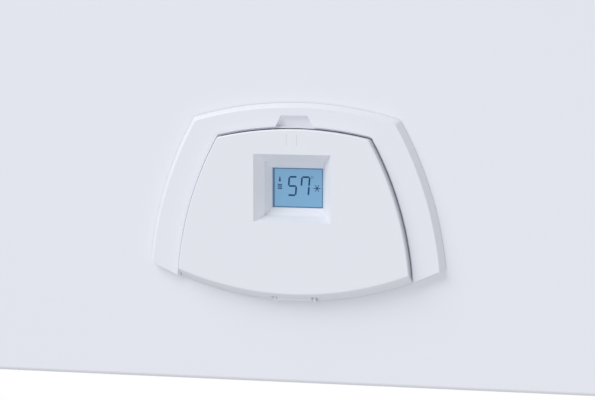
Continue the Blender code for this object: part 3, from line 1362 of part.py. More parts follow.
def gas_pipes():
    low = NUT_TOP_UP + SEAT_GAP + RUNNING_GAP
    inlet_top = GAS_VALVE_LOW_UP - GAS_PIPE_RADIUS * 2 - SHEET - SEAT_GAP
    tube("gas_inlet_pipe", [(0, PIPE_Y, up(low)), (0, PIPE_Y, up(inlet_top))], GAS_PIPE_RADIUS, PIPE_BEND,
         STEEL, 0.35)
    outlet_low = GAS_VALVE_LOW_UP + GAS_VALVE_HEIGHT + GAS_PIPE_RADIUS * 2 + SHEET + SEAT_GAP
    rise = CHAMBER_LOW_UP + GAS_PIPE_RADIUS * 2
    route = [
        (GAS_OUTLET_X, PIPE_Y, up(outlet_low)),
        (GAS_OUTLET_X, PIPE_Y, up(rise)),
        (GAS_OUTLET_X, MANIFOLD_Y, up(rise)),
        (GAS_OUTLET_X, MANIFOLD_Y, up(MANIFOLD_UP - MANIFOLD_RADIUS - SEAT_GAP)),
    ]
    tube("burner_gas_pipe", route, GAS_PIPE_RADIUS, GAS_PIPE_RADIUS * GAS_BEND_SHARE, STEEL, 0.35)


def gas_manifold():
    left, right = HEAT_CENTRE_X - HEAT_HALF, HEAT_CENTRE_X + HEAT_HALF
    z = up(MANIFOLD_UP)
    bar = rod("gas_manifold", (left, MANIFOLD_Y, z), (right, MANIFOLD_Y, z), MANIFOLD_RADIUS, ALUMINIUM, 0.45,
              1.0,
              steps=16)
    for i in range(BURNER_BARS):
        x = left + BAR_PITCH * (i + 0.5)
        tip = MANIFOLD_Y + MANIFOLD_RADIUS + MANIFOLD_FRONT - SEAT_GAP
        join(bar, rod("injector", (x, MANIFOLD_Y, z), (x, tip, z), INJECTOR_RADIUS, BRASS, steps=8))
    return bar


def burner():
    """The rack of burner blades on two side walls: one comb outline, run from front to back."""
    left = HEAT_CENTRE_X - HEAT_HALF
    low, shelf, top = BURNER_LOW_UP, BURNER_LOW_UP + BURNER_BASE * 3, BURNER_LOW_UP + BURNER_HEIGHT
    right = left + 2 * HEAT_HALF
    floor = CHAMBER_LOW_UP + SHEET + SEAT_GAP
    outline = [
        (left, up(floor)), (left + BURNER_LEG, up(floor)), (left + BURNER_LEG, up(low)),
        (right - BURNER_LEG, up(low)), (right - BURNER_LEG, up(floor)), (right, up(floor)), (right, up(shelf)),
    ]
    head = BAR_PITCH * BAR_HEAD_SHARE / 2
    neck = BAR_PITCH * BAR_SHARE / 2
    shoulder = shelf + (top - shelf) * BAR_NECK_SHARE
    for i in reversed(range(BURNER_BARS)):
        x = left + BAR_PITCH * (i + 0.5)
        blade = [(neck, shelf), (neck, shoulder), (head, top), (-head, top), (-neck, shoulder), (-neck, shelf)]
        outline += [(x + dx, up(z)) for dx, z in blade]
    outline.append((left, up(shelf)))
    return plate("burner", [outline], -HEAT_FRONT, HEAT_FRONT - HEAT_BACK, "Y", STEEL, 0.4, 1.0)


def electrode_set():
    """Ignition and flame electrodes in ceramic sleeves on one small bracket in front of the burner."""
    low = MANIFOLD_UP + MANIFOLD_RADIUS + ELECTRODE_SLEEVE_RADIUS
    top = low + SLEEVE_LENGTH
    y = -HEAT_FRONT - MANIFOLD_FRONT
    reach = ELECTRODE_SPACING * (ELECTRODE_COUNT - 1) / 2 + ELECTRODE_SLEEVE_RADIUS * 2
    plate_z = up(low + SLEEVE_LENGTH / 3)
    bracket = block("electrode_set", (HEAT_CENTRE_X - reach, y - ELECTRODE_RADIUS, plate_z),
                    (HEAT_CENTRE_X + reach, -HEAT_FRONT - SEAT_GAP, plate_z + SHEET), STEEL, 0.4, 1.0)
    for i in range(ELECTRODE_COUNT):
        x = HEAT_CENTRE_X + ELECTRODE_SPACING * (i - (ELECTRODE_COUNT - 1) / 2)
        join(bracket, upright("ceramic_sleeve", x, y, low, top, ELECTRODE_SLEEVE_RADIUS, FIBRE, steps=10))
        join(bracket,
             upright("electrode_wire", x, y, low - SHEET, top + SLEEVE_LENGTH / 4, ELECTRODE_RADIUS, STEEL,
                              steps=8))
    return bracket


gas_valve()
gas_pipes()
gas_manifold()
burner()
electrode_set()


# Sealed chamber: an open-fronted steel case with its lid, round the burner, exchanger and fan
FLOW_DROP_X = CHAMBER_LEFT + WATER_PIPE_RADIUS * 2
RETURN_DROP_X = CHAMBER_RIGHT - WATER_PIPE_RADIUS * 2
FIREBOX_LOW_UP = BURNER_LOW_UP + BURNER_HEIGHT + SEAT_GAP
FIREBOX_TOP_UP = FIREBOX_LOW_UP + FIREBOX_HEIGHT
EXCHANGER_LOW_UP = FIREBOX_TOP_UP + SEAT_GAP
EXCHANGER_MID_UP = EXCHANGER_LOW_UP + FIN_BLOCK_HEIGHT / 2
EXCHANGER_TOP_UP = EXCHANGER_LOW_UP + FIN_BLOCK_HEIGHT
HOOD_LOW_UP = EXCHANGER_TOP_UP + SEAT_GAP
HOOD_TOP_UP = HOOD_LOW_UP + HOOD_HEIGHT
FAN_LOW_UP = HOOD_TOP_UP + FAN_NECK_HEIGHT
FAN_TOP_UP = FAN_LOW_UP + FAN_HEIGHT
HEAT_LEFT, HEAT_RIGHT = HEAT_CENTRE_X - HEAT_HALF, HEAT_CENTRE_X + HEAT_HALF


def sealed_chamber():
    chamber = folded("sealed_chamber", (CHAMBER_LEFT, -CHAMBER_FRONT, up(CHAMBER_LOW_UP)),
                     (CHAMBER_RIGHT, -CHAMBER_BACK, up(CHAMBER_TOP_UP)), ["-y"], SHEET, GALVANISED, 0.45, 0.8)
    for x in (CHAMBER_LEFT + CHAMBER_FOOT_INSET, CHAMBER_RIGHT - CHAMBER_FOOT_INSET):
        join(chamber, block("chamber_foot",
                            (x - CHAMBER_FOOT_WIDTH / 2, -CHAMBER_BACK - SHEET / 2, up(CHAMBER_LOW_UP)),
                            (x + CHAMBER_FOOT_WIDTH / 2, FRAME_FRONT_Y - SEAT_GAP, up(FOOT_TOP_UP)),
                            GALVANISED))
    floor_low, floor_high = CHAMBER_LOW_UP - CUT_OVERRUN, CHAMBER_LOW_UP + CUT_OVERRUN
    for x, radius in ((FLOW_DROP_X, WATER_PIPE_RADIUS), (RETURN_DROP_X, WATER_PIPE_RADIUS),
                      (GAS_OUTLET_X, GAS_PIPE_RADIUS)):
        cut(chamber, upright("pipe_hole", x, PIPE_Y, floor_low, floor_high, radius + HOLE_GAP, STEEL))
    return cut(chamber, rod("flue_hole", (FLUE_X, FLUE_Y, up(CHAMBER_TOP_UP - CUT_OVERRUN)),
                            (FLUE_X, FLUE_Y, up(CHAMBER_TOP_UP + CUT_OVERRUN)), AIR_DUCT_RADIUS + HOLE_GAP,
                            STEEL,
                            steps=COLLAR_STEPS))


def chamber_lid():
    """The lid, dished forward inside a flat rim."""
    front = -CHAMBER_FRONT - SEAT_GAP
    lid = block("chamber_lid", (CHAMBER_LEFT, front - SHEET, up(CHAMBER_LOW_UP)),
                (CHAMBER_RIGHT, front, up(CHAMBER_TOP_UP)), GALVANISED, 0.45, 0.8)
    rim = LID_RIM
    dish = block("lid_dish", (CHAMBER_LEFT + rim, front - SHEET * 3, up(CHAMBER_LOW_UP + rim)),
                 (CHAMBER_RIGHT - rim, front - SHEET / 2, up(CHAMBER_TOP_UP - rim)), GALVANISED)
    hollow = block("lid_hollow",
                   (CHAMBER_LEFT + rim + SHEET, front - SHEET * 2, up(CHAMBER_LOW_UP + rim + SHEET)),
                   (CHAMBER_RIGHT - rim - SHEET, front + CUT_OVERRUN, up(CHAMBER_TOP_UP - rim - SHEET)),
                   GALVANISED)
    join(lid, dish)
    return cut(lid, hollow)


def firebox():
    """The combustion chamber over the burner, and the fibre lining inside it."""
    low, high = FIREBOX_LOW_UP, FIREBOX_TOP_UP
    folded("combustion_chamber", (HEAT_LEFT, -HEAT_FRONT, up(low)), (HEAT_RIGHT, -HEAT_BACK, up(high)),
           ["+z", "-z"], SHEET, STEEL, 0.45, 1.0)
    skin = SHEET + SEAT_GAP
    folded("insulation_lining", (HEAT_LEFT + skin, -HEAT_FRONT + skin, up(low)),
           (HEAT_RIGHT - skin, -HEAT_BACK - skin, up(high)), ["+z", "-z"], INSULATION, FIBRE, 0.9)


def heat_exchanger():
    """Fins above and below a core of flattened tubes, with a header at each end and return bends in front."""
    low, high = EXCHANGER_LOW_UP, EXCHANGER_TOP_UP
    core_low = EXCHANGER_MID_UP - FIN_CORE_HEIGHT / 2
    core_high = EXCHANGER_MID_UP + FIN_CORE_HEIGHT / 2
    left, right = HEAT_LEFT + HEADER_THICKNESS, HEAT_RIGHT - HEADER_THICKNESS
    pitch = (right - left) / FIN_COUNT
    lower, upper = [], []
    for i in range(FIN_COUNT):
        x = left + pitch * (i + 0.5)
        half = pitch * FIN_SHARE / 2
        lower += [(x - half, core_low), (x - half, low), (x + half, low), (x + half, core_low)]
        upper += [(x - half, core_high), (x - half, high), (x + half, high), (x + half, core_high)]
    outline = [(left, core_low), *lower, (right, core_low), (right, core_high), *reversed(upper),
               (left, core_high)]
    ends = [HEAT_BACK - CASING_DEPTH, HEAT_FRONT - CASING_DEPTH]
    fins = loft("heat_exchanger", [(outline, end) for end in ends], COPPER, 0.35, metallic=1.0)
    for x, reach in ((HEAT_LEFT, HEADER_THICKNESS), (HEAT_RIGHT, -HEADER_THICKNESS)):
        xs = sorted((x, x + reach * HEADER_OVERLAP_SHARE))
        join(fins,
             block("exchanger_header", (xs[0], -HEAT_FRONT, up(low)), (xs[1], -HEAT_BACK, up(high)), COPPER))
    for x, far in ((HEAT_LEFT, FLOW_DROP_X), (HEAT_RIGHT, RETURN_DROP_X)):
        end = far + math.copysign(WATER_PIPE_RADIUS + SEAT_GAP, x - far)
        join(fins, rod("water_stub", (x + math.copysign(HEADER_THICKNESS / 2, HEAT_CENTRE_X - x), PIPE_Y,
                                      up(EXCHANGER_MID_UP)), (end, PIPE_Y, up(EXCHANGER_MID_UP)),
                       WATER_PIPE_RADIUS, COPPER, steps=16))
    return fins


def section_loft(name, sections, colour, roughness, metallic):
    """A closed solid through level sections, each a height and its (x, y) points."""
    work = bmesh.new()
    loops = [[work.verts.new((x, y, up(z))) for x, y in points] for z, points in sections]
    for lower, upper in zip(loops, loops[1:]):
        for i in range(len(lower)):
            j = (i + 1) % len(lower)
            work.faces.new((lower[i], lower[j], upper[j], upper[i]))
    work.faces.new(loops[0])
    work.faces.new(loops[-1])
    return from_bmesh(name, work, colour, roughness, metallic, smooth=True)


def box_ring(left, right, front, back, steps):
    """A rectangle's points, one for each ray that a circle of as many steps has."""
    centre = Vector(((left + right) / 2, (front + back) / 2))
    half = Vector(((right - left) / 2, (back - front) / 2))
    points = []
    for i in range(steps):
        ray = Vector((math.cos(2 * PI * i / steps), math.sin(2 * PI * i / steps)))
        reach = min(half.x / max(abs(ray.x), TINY), half.y / max(abs(ray.y), TINY))
        points.append(tuple(centre + ray * reach))
    return points


def flue_hood():
    """The hood that draws in from the exchanger's rectangle to the fan's round eye."""
    place = (FAN_X, -FAN_BACK)
    outer = box_ring(HEAT_LEFT, HEAT_RIGHT, -HEAT_FRONT, -HEAT_BACK, HOOD_STEPS)
    wall = HOOD_WALL
    inner = box_ring(HEAT_LEFT + wall, HEAT_RIGHT - wall, -HEAT_FRONT + wall, -HEAT_BACK - wall, HOOD_STEPS)
    top = HOOD_TOP_UP + FAN_NECK_HEIGHT - SEAT_GAP
    bore = FAN_NECK_RADIUS - wall
    hood = section_loft("flue_hood", [
        (HOOD_LOW_UP, outer), (HOOD_LOW_UP + HOOD_HEIGHT / 4, outer),
        (HOOD_TOP_UP, ring(place, FAN_NECK_RADIUS, HOOD_STEPS)),
        (top, ring(place, FAN_NECK_RADIUS, HOOD_STEPS)),
    ], ALUMINIUM, 0.45, 1.0)
    return cut(hood, section_loft("hood_hollow", [
        (HOOD_LOW_UP - CUT_OVERRUN, inner), (HOOD_LOW_UP + HOOD_HEIGHT / 4 - wall, inner),
        (HOOD_TOP_UP - wall, ring(place, bore, HOOD_STEPS)),
        (top + CUT_OVERRUN, ring(place, bore, HOOD_STEPS)),
    ], ALUMINIUM, 0.45, 1.0))


def scroll(extra, steps=SCROLL_STEPS):
    """The fan's spiral wall seen from above, opening into the flue's round outlet on its left."""
    points = []
    for i in range(steps + 1):
        turn = i / steps
        radius = SCROLL_START + SCROLL_GROWTH * turn + extra
        angle = PI / 2 - 2 * PI * SCROLL_TURN_SHARE * turn
        points.append((FAN_X + radius * math.cos(angle), -FAN_BACK + radius * math.sin(angle)))
    return points + [(points[-1][0], points[0][1])]


def fan():
    """Housing, impeller and motor, on a vertical shaft over the hood."""
    wall = FAN_WALL
    outlet = ring((FLUE_X, FLUE_Y), FLUE_RADIUS + wall, HOOD_STEPS)
    housing = section_loft("fan_housing", [(FAN_LOW_UP, scroll(wall)), (FAN_TOP_UP, scroll(wall))], ALUMINIUM,
                           0.45, 1.0)
    stub_top = CHAMBER_TOP_UP - COLLAR_STUB - SEAT_GAP
    join(housing, section_loft("fan_outlet", [(FAN_LOW_UP, outlet), (stub_top, outlet)], ALUMINIUM, 0.45, 1.0))
    hollow_low, hollow_high = FAN_LOW_UP + wall, FAN_TOP_UP - wall
    cut(housing,
        section_loft("scroll_hollow", [(hollow_low, scroll(0)), (hollow_high, scroll(0))], ALUMINIUM, 0.4, 1))
    bore = ring((FLUE_X, FLUE_Y), FLUE_RADIUS, HOOD_STEPS)
    cut(housing,
        section_loft("outlet_bore", [(hollow_low, bore), (stub_top + CUT_OVERRUN, bore)], ALUMINIUM, 0.4, 1))
    cut(housing, upright("fan_eye", FAN_X, -FAN_BACK, FAN_LOW_UP - CUT_OVERRUN, FAN_LOW_UP + CUT_OVERRUN,
                         IMPELLER_EYE, ALUMINIUM))
    cut(housing, upright("shaft_hole", FAN_X, -FAN_BACK, hollow_high - CUT_OVERRUN, FAN_TOP_UP + CUT_OVERRUN,
                         SHAFT_RADIUS + RUNNING_GAP, ALUMINIUM, steps=12))
    motor_low = FAN_TOP_UP + SEAT_GAP
    motor = upright("fan_motor", FAN_X, -FAN_BACK, motor_low, motor_low + FAN_MOTOR_HEIGHT * MOTOR_BASE_SHARE,
                    FAN_MOTOR_RADIUS,
                    STEEL, 0.4)
    shaft_top = motor_low + FAN_MOTOR_HEIGHT * MOTOR_SHAFT_SHARE
    join(motor, upright("motor_cap", FAN_X, -FAN_BACK, shaft_top, motor_low + FAN_MOTOR_HEIGHT,
                        FAN_MOTOR_RADIUS * MOTOR_CAP_SHARE, BLACK_PLASTIC))
    cut(motor, upright("shaft_socket", FAN_X, -FAN_BACK, motor_low - CUT_OVERRUN, shaft_top + SEAT_GAP,
                       SHAFT_RADIUS + SEAT_GAP, STEEL, steps=12))
    impeller(hollow_low + RUNNING_GAP * 2, hollow_high - RUNNING_GAP * 2, shaft_top)


def impeller(low, high, shaft_top):
    """A backing disc with swept blades that hang from it round the eye, on its shaft."""
    hub = upright("fan_impeller", FAN_X, -FAN_BACK, high - SHEET, high, IMPELLER_RADIUS, ALUMINIUM, 0.4)
    join(hub, upright("impeller_shaft", FAN_X, -FAN_BACK, high - SHEET * 6, shaft_top, SHAFT_RADIUS, STEEL,
                      steps=12))
    for i in range(IMPELLER_BLADES):
        blade = block("impeller_blade", (-BLADE_LENGTH / 2, -BLADE_THICKNESS / 2, up(low)),
                      (BLADE_LENGTH / 2, BLADE_THICKNESS / 2, up(high - SHEET / 2)), ALUMINIUM)
        angle = 2 * PI * i / IMPELLER_BLADES
        centre = IMPELLER_RADIUS - BLADE_LENGTH / 2 - SHEET
        place = Matrix.Translation((FAN_X, -FAN_BACK, 0)) @ Matrix.Rotation(angle, 4, "Z")
        blade.matrix_world = place @ Matrix.Translation((centre, 0, 0)) @ Matrix.Rotation(BLADE_SWEEP, 4, "Z")
        join(hub, blade)
    return pivot(hub, (FAN_X, -FAN_BACK, up(high)))


def flue_collar():
    """The concentric collar: a flanged air tube, with the flue tube held inside it by three webs."""
    top = up(CASING_HEIGHT + COLLAR_PROUD)
    low = up(CHAMBER_TOP_UP - COLLAR_STUB)
    seat = up(CHAMBER_TOP_UP) + SEAT_GAP
    foot = (FLUE_X, FLUE_Y, 0)
    air = [(AIR_BORE_RADIUS, top), (AIR_DUCT_RADIUS, top), (AIR_DUCT_RADIUS, seat + SHEET * 2),
           (COLLAR_FLANGE_RADIUS, seat + SHEET * 2), (COLLAR_FLANGE_RADIUS, seat), (AIR_BORE_RADIUS, seat)]
    collar = turned("flue_collar", air, foot, (0, 0, 1), WHITE_PAINT, 0.4, steps=COLLAR_STEPS)
    flue = [(FLUE_BORE_RADIUS, top), (FLUE_RADIUS, top), (FLUE_RADIUS, low), (FLUE_BORE_RADIUS, low)]
    join(collar, turned("flue_tube", flue, foot, (0, 0, 1), ALUMINIUM, steps=COLLAR_STEPS))
    for i in range(COLLAR_SPOKES):
        inner = (FLUE_BORE_RADIUS + FLUE_RADIUS) / 2
        web = block("collar_web", (inner, -SPOKE_WIDTH / 2, seat),
                    (AIR_BORE_RADIUS + SHEET / 2, SPOKE_WIDTH / 2,
                    seat + COLLAR_PROUD), ALUMINIUM)
        web.matrix_world = Matrix.Translation(foot) @ Matrix.Rotation(2 * PI * (i + 0.5) / COLLAR_SPOKES, 4,
                                                                      "Z")
        join(collar, web)
    return collar


def air_pressure_switch():
    x = CHAMBER_RIGHT - SHEET - SEAT_GAP
    at = (-SWITCH_BACK, up(SWITCH_UP))
    switch = rod("air_pressure_switch", (x, *at), (x - SWITCH_DEPTH * SWITCH_RIM_SHARE, *at), SWITCH_RADIUS,
                 BLACK_PLASTIC, 0.5)
    join(switch,
         rod("switch_rear", (x - SHEET, *at), (x - SWITCH_DEPTH, *at), SWITCH_RADIUS * SWITCH_REAR_SHARE,
                     BLACK_PLASTIC))
    return join(switch, rod("switch_port", (x - SWITCH_DEPTH + SHEET, *at),
                            (x - SWITCH_DEPTH * SWITCH_PORT_SHARE, *at),
                            THIN_PIPE_RADIUS / 2, BLACK_PLASTIC, steps=12))


sealed_chamber()
chamber_lid()
firebox()
heat_exchanger()
flue_hood()
fan()
flue_collar()
air_pressure_switch()


# Water pipes and the expansion vessel beside the chamber
def water_pipes():
    top = EXCHANGER_MID_UP + WATER_PIPE_RADIUS * 2
    flow_low = GROUP_UP + GROUP_RADIUS + PORT_RADIUS + SEAT_GAP
    y = PIPE_Y
    tube("flow_pipe", [(FLOW_DROP_X, y, up(top)), (FLOW_DROP_X, y, up(PIPE_DROP_UP)),
                       (-FLOW_PIPE_X, y, up(PIPE_DROP_UP)), (-FLOW_PIPE_X, y, up(flow_low))],
         WATER_PIPE_RADIUS, PIPE_BEND, COPPER)
    tube("return_pipe", [(RETURN_DROP_X, y, up(top)), (RETURN_DROP_X, y, up(PUMP_OUTLET_UP + SEAT_GAP))],
         WATER_PIPE_RADIUS, PIPE_BEND, COPPER)


def expansion_vessel():
    """Two pressed halves with a rolled seam between them, pads to the back frame and its pipe."""
    vessel = block("expansion_vessel", (VESSEL_LEFT, -VESSEL_FRONT, up(VESSEL_LOW_UP)),
                   (VESSEL_RIGHT, -VESSEL_BACK, up(VESSEL_TOP_UP)), RED, 0.35)
    seam_x = (VESSEL_LEFT + VESSEL_RIGHT) / 2
    seam = block("vessel_seam",
                 (seam_x - SEAM_THICKNESS / 2, -VESSEL_FRONT - SEAM_PROUD, up(VESSEL_LOW_UP - SEAM_PROUD)),
                 (seam_x + SEAM_THICKNESS / 2, -VESSEL_BACK + SEAM_PROUD, up(VESSEL_TOP_UP + SEAM_PROUD)), RED)
    wall = VESSEL_WALL
    hollow = block("vessel_hollow", (VESSEL_LEFT + wall, -VESSEL_FRONT + wall, up(VESSEL_LOW_UP + wall)),
                   (VESSEL_RIGHT - wall, -VESSEL_BACK - wall, up(VESSEL_TOP_UP - wall)), RED)
    for piece, radius in ((vessel, VESSEL_EDGE_RADIUS), (hollow, VESSEL_EDGE_RADIUS - wall),
                          (seam, SEAM_THICKNESS / 3)):
        soften = piece.modifiers.new("Pressed edges", "BEVEL")
        soften.width = radius
        soften.segments = 3
        soften.limit_method = "ANGLE"
    join(vessel, seam)
    for height in (VESSEL_LOW_UP + 2 * VESSEL_PAD, VESSEL_TOP_UP - 3 * VESSEL_PAD):
        join(vessel, block("vessel_pad", (seam_x - VESSEL_PAD / 2, -VESSEL_BACK - SHEET, up(height)),
                           (seam_x + VESSEL_PAD / 2, FRAME_FRONT_Y - SEAT_GAP, up(height + VESSEL_PAD)), RED))
    inlet_x = -GROUP_OUTER_X + THIN_PIPE_RADIUS * 2
    inlet = upright("vessel_mouth", inlet_x, PIPE_Y, VESSEL_LOW_UP - CUT_OVERRUN, VESSEL_LOW_UP + CUT_OVERRUN,
                    THIN_PIPE_RADIUS - SHEET, RED, steps=12)
    cut(vessel, hollow, inlet)
    low = GROUP_UP + GROUP_RADIUS + PORT_RADIUS + SEAT_GAP
    tube("vessel_pipe",
         [(inlet_x, PIPE_Y, up(low)), (inlet_x, PIPE_Y, up(VESSEL_LOW_UP - SEAM_PROUD - SEAT_GAP))],
         THIN_PIPE_RADIUS, PIPE_BEND, COPPER)


water_pipes()
expansion_vessel()
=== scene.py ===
"""Looks of the wall-mounted gas boiler: finishes, fine shapes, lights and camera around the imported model."""
import json
import math

import bmesh
import bpy
from mathutils import Matrix, Vector

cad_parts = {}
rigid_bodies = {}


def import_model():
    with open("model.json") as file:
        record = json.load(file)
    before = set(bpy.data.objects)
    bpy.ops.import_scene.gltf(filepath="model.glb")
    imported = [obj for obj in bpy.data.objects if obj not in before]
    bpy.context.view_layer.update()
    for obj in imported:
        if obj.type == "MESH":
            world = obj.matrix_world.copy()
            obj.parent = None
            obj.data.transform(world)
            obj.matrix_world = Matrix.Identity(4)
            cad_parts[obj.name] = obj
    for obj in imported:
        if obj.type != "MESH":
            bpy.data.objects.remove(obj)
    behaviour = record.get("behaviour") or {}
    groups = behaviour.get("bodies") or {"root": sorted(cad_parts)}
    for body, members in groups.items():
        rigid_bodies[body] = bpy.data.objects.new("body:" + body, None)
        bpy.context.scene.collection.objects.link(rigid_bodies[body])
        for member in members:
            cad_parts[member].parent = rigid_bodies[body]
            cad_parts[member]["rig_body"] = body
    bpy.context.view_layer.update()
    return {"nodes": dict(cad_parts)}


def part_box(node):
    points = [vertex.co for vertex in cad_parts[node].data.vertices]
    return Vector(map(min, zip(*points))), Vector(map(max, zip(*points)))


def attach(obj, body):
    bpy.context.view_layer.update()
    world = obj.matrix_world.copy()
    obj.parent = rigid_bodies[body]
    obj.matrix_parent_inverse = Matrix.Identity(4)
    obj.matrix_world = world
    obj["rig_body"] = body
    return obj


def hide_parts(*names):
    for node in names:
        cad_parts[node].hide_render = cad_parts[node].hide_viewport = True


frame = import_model()
nodes = frame["nodes"]


# Front cover: the folded sheet-steel front of the case, stove-enamelled white. It is one tray with rolled
# edges, with the pod's opening cut in its face, and it hooks over the side panels.
COVER_FACE_Y = -0.250
CASE_LOW, CASE_TOP, CASE_HALF = -0.640, 0.060, 0.200
COVER_SHEET, COVER_RETURN, COVER_EDGE = 0.0012, 0.030, 0.0025
PAINT_WHITE = (0.790, 0.808, 0.872)
FINGER_GAP = 0.0010
SLIVER, FLAT_ANGLE = 0.00001, 0.4


class Tone:
    """A value in a tree of nodes, which can be used in sums."""

    def __init__(self, owner, socket):
        self.owner, self.socket = owner, socket

    def __add__(self, other):
        return self.owner.maths("ADD", self, other)

    def __mul__(self, other):
        return self.owner.maths("MULTIPLY", self, other)

    def __gt__(self, other):
        return self.owner.maths("GREATER_THAN", self, other)

    __radd__, __rmul__ = __add__, __mul__


class Nodes:
    """A tree of nodes and the one way of adding to it."""

    def __init__(self, tree):
        self.tree = tree

    def node(self, kind, settings, sockets, output=0):
        """Adds one node: its settings first, then the values or links of its sockets."""
        made = self.tree.nodes.new(kind)
        for key, value in settings.items():
            setattr(made, key, value)
        for key, value in sockets.items():
            if isinstance(value, Tone):
                self.tree.links.new(value.socket, made.inputs[key])
            else:
                made.inputs[key].default_value = value
        return Tone(self, made.outputs[output]) if made.outputs else None

    def maths(self, operation, *values):
        return self.node("ShaderNodeMath", {"operation": operation}, dict(enumerate(values)))


class Finish(Nodes):
    """A material: its shader's plain values, and the nodes that vary them over the surface."""

    def __init__(self, name, colour, roughness, metallic=0.0, **others):
        self.material = bpy.data.materials.new(name)
        self.material.use_nodes = True
        super().__init__(self.material.node_tree)
        self.shader = self.tree.nodes["Principled BSDF"]
        self.colour = (*colour, 1.0)
        plain = {"Base Color": self.colour, "Roughness": roughness, "Metallic": metallic}
        plain.update({key.replace("_", " "): value for key, value in others.items()})
        for key, value in plain.items():
            self.shader.inputs[key].default_value = value

    def set(self, socket, tone):
        self.tree.links.new(tone.socket, self.shader.inputs[socket])
        return self

    def places(self, stretch=(1.0, 1.0, 1.0)):
        spot = self.node("ShaderNodeTexCoord", {}, {}, "Object")
        return self.node("ShaderNodeVectorMath", {"operation": "MULTIPLY"}, {0: spot, 1: stretch})

    def grain(self, scale, detail=2.0, stretch=(1.0, 1.0, 1.0), roughness=0.5):
        """Noise, from 0 to 1, with a cell of 1 / scale metres."""
        return self.node("ShaderNodeTexNoise", {}, {
            "Vector": self.places(stretch), "Scale": scale, "Detail": detail, "Roughness": roughness})

    def tint(self, amount, other, base=None):
        """The base colour turned towards another one by a mask."""
        mix = {"Factor": amount, 6: base or self.colour, 7: (*other, 1.0)}
        return self.set("Base Color", self.node("ShaderNodeMix", {"data_type": "RGBA"}, mix, 2))

    def mottle(self, amount, other, scale, detail=2.0):
        """The base colour turned towards another one by noise."""
        return self.tint(self.grain(scale, detail) * amount, other)

    def rough(self, low, high, tone):
        return self.set("Roughness", tone * (high - low) + low)

    def relief(self, height, tone):
        """Bumps of a height in metres."""
        return self.set("Normal", self.node("ShaderNodeBump", {}, {"Height": tone, "Distance": height}))


def stove_enamel(name, colour):
    """Powder coat on sheet steel: a faint orange-peel relief and barely uneven gloss."""
    coat = Finish(name, colour, 0.38, Coat_Weight=0.15, Coat_Roughness=0.25)
    haze = coat.grain(9.0, 3.0)
    coat.rough(0.34, 0.43, haze)
    coat.tint(haze * 0.10, (0.70, 0.71, 0.76))
    return coat.relief(0.00003, coat.grain(420.0, 1.0)).material


case_paint = stove_enamel("case_paint", PAINT_WHITE)


def up(height):
    """The z of a height above the case's foot."""
    return CASE_LOW + height


def out(distance):
    """The y of a distance in front of the cover."""
    return COVER_FACE_Y - distance


def at(point, distance):
    """The place of an (x, height) point at a distance in front of the cover."""
    x, height = point
    return x, out(distance), up(height)


def ring_at(outline, distance):
    return [at(point, distance) for point in outline]


def linked(name, data):
    """A new object in the scene."""
    made = bpy.data.objects.new(name, data)
    bpy.context.scene.collection.objects.link(made)
    return made


def body_of_shape(name, shape):
    """A plain object with a shape, for cutting and rounding."""
    data = bpy.data.meshes.new(name)
    bmesh.ops.recalc_face_normals(shape, faces=shape.faces)
    shape.to_mesh(data)
    shape.free()
    return linked(name, data)


def dress(piece, material, body, smooth=35):
    """Gives a piece its shading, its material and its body."""
    if smooth:
        piece.data.shade_smooth()
        piece.data.set_sharp_from_angle(angle=math.radians(smooth))
        even = piece.modifiers.new("Even shading", "WEIGHTED_NORMAL")
        even.keep_sharp = True
        settle(piece)
    piece.data.materials.clear()
    piece.data.materials.append(material)
    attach(piece, body)


def stand_for(node, piece, material, smooth=35):
    """Puts a piece in the place of a CAD node, on the node's body, with the given material, and hides the
    node.
    """
    dress(piece, material, nodes[node]["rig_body"], smooth)
    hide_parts(node)


def solid(sections, closed=False, shape=None):
    """A closed shape through rings of points, added to another if one is given.

    A closed run of rings joins its last to its first, like a picture frame.
    """
    shape = shape or bmesh.new()
    rings = [[shape.verts.new(point) for point in section] for section in sections]
    pairs = list(zip(rings, rings[1:])) + ([(rings[-1], rings[0])] if closed else [])
    for lower, upper in pairs:
        for i in range(len(lower)):
            j = (i + 1) % len(lower)
            shape.faces.new((lower[i], lower[j], upper[j], upper[i]))
    if not closed:
        shape.faces.new(rings[0])
        shape.faces.new(rings[-1])
    return shape


def box(low, high):
    (a, b, c), (d, e, f) = low, high
    return solid([[(a, b, z), (d, b, z), (d, e, z), (a, e, z)] for z in (c, f)])


def carve(piece, operation, *shapes):
    """Cuts shapes out of a piece, or joins them to it, and keeps only the result."""
    for shape in shapes:
        tool = body_of_shape("tool", shape)
        change = piece.modifiers.new("Carve", "BOOLEAN")
        change.operation, change.solver, change.object = operation, "EXACT", tool
        settle(piece)
        bpy.data.objects.remove(tool)
    return piece


def plain_mesh(piece):
    """The mesh that an object gives with its modifiers."""
    bpy.context.view_layer.update()
    return bpy.data.meshes.new_from_object(piece.evaluated_get(bpy.context.evaluated_depsgraph_get()))


def settle(piece):
    """Turns a piece with modifiers into a plain mesh."""
    fixed = plain_mesh(piece)
    piece.modifiers.clear()
    piece.data = fixed
    return piece


def tidy(piece):
    """Welds a piece's mesh and joins its coplanar faces, so that its edges can be rounded cleanly."""
    shape = bmesh.new()
    shape.from_mesh(piece.data)
    bmesh.ops.remove_doubles(shape, verts=shape.verts, dist=SLIVER)
    bmesh.ops.dissolve_degenerate(shape, edges=shape.edges, dist=SLIVER)
    bmesh.ops.dissolve_limit(shape, angle_limit=math.radians(FLAT_ANGLE), verts=shape.verts,
                             edges=shape.edges)
    shape.to_mesh(piece.data)
    shape.free()


def soften(piece, radius, segments=3, angle=30):
    """Rounds a piece's sharp edges."""
    tidy(piece)
    edge = piece.modifiers.new("Soft edges", "BEVEL")
    edge.width, edge.segments, edge.limit_method = radius, segments, "ANGLE"
    edge.angle_limit = math.radians(angle)
    edge.use_clamp_overlap = True
    edge.miter_outer = "MITER_ARC"
    return settle(piece)


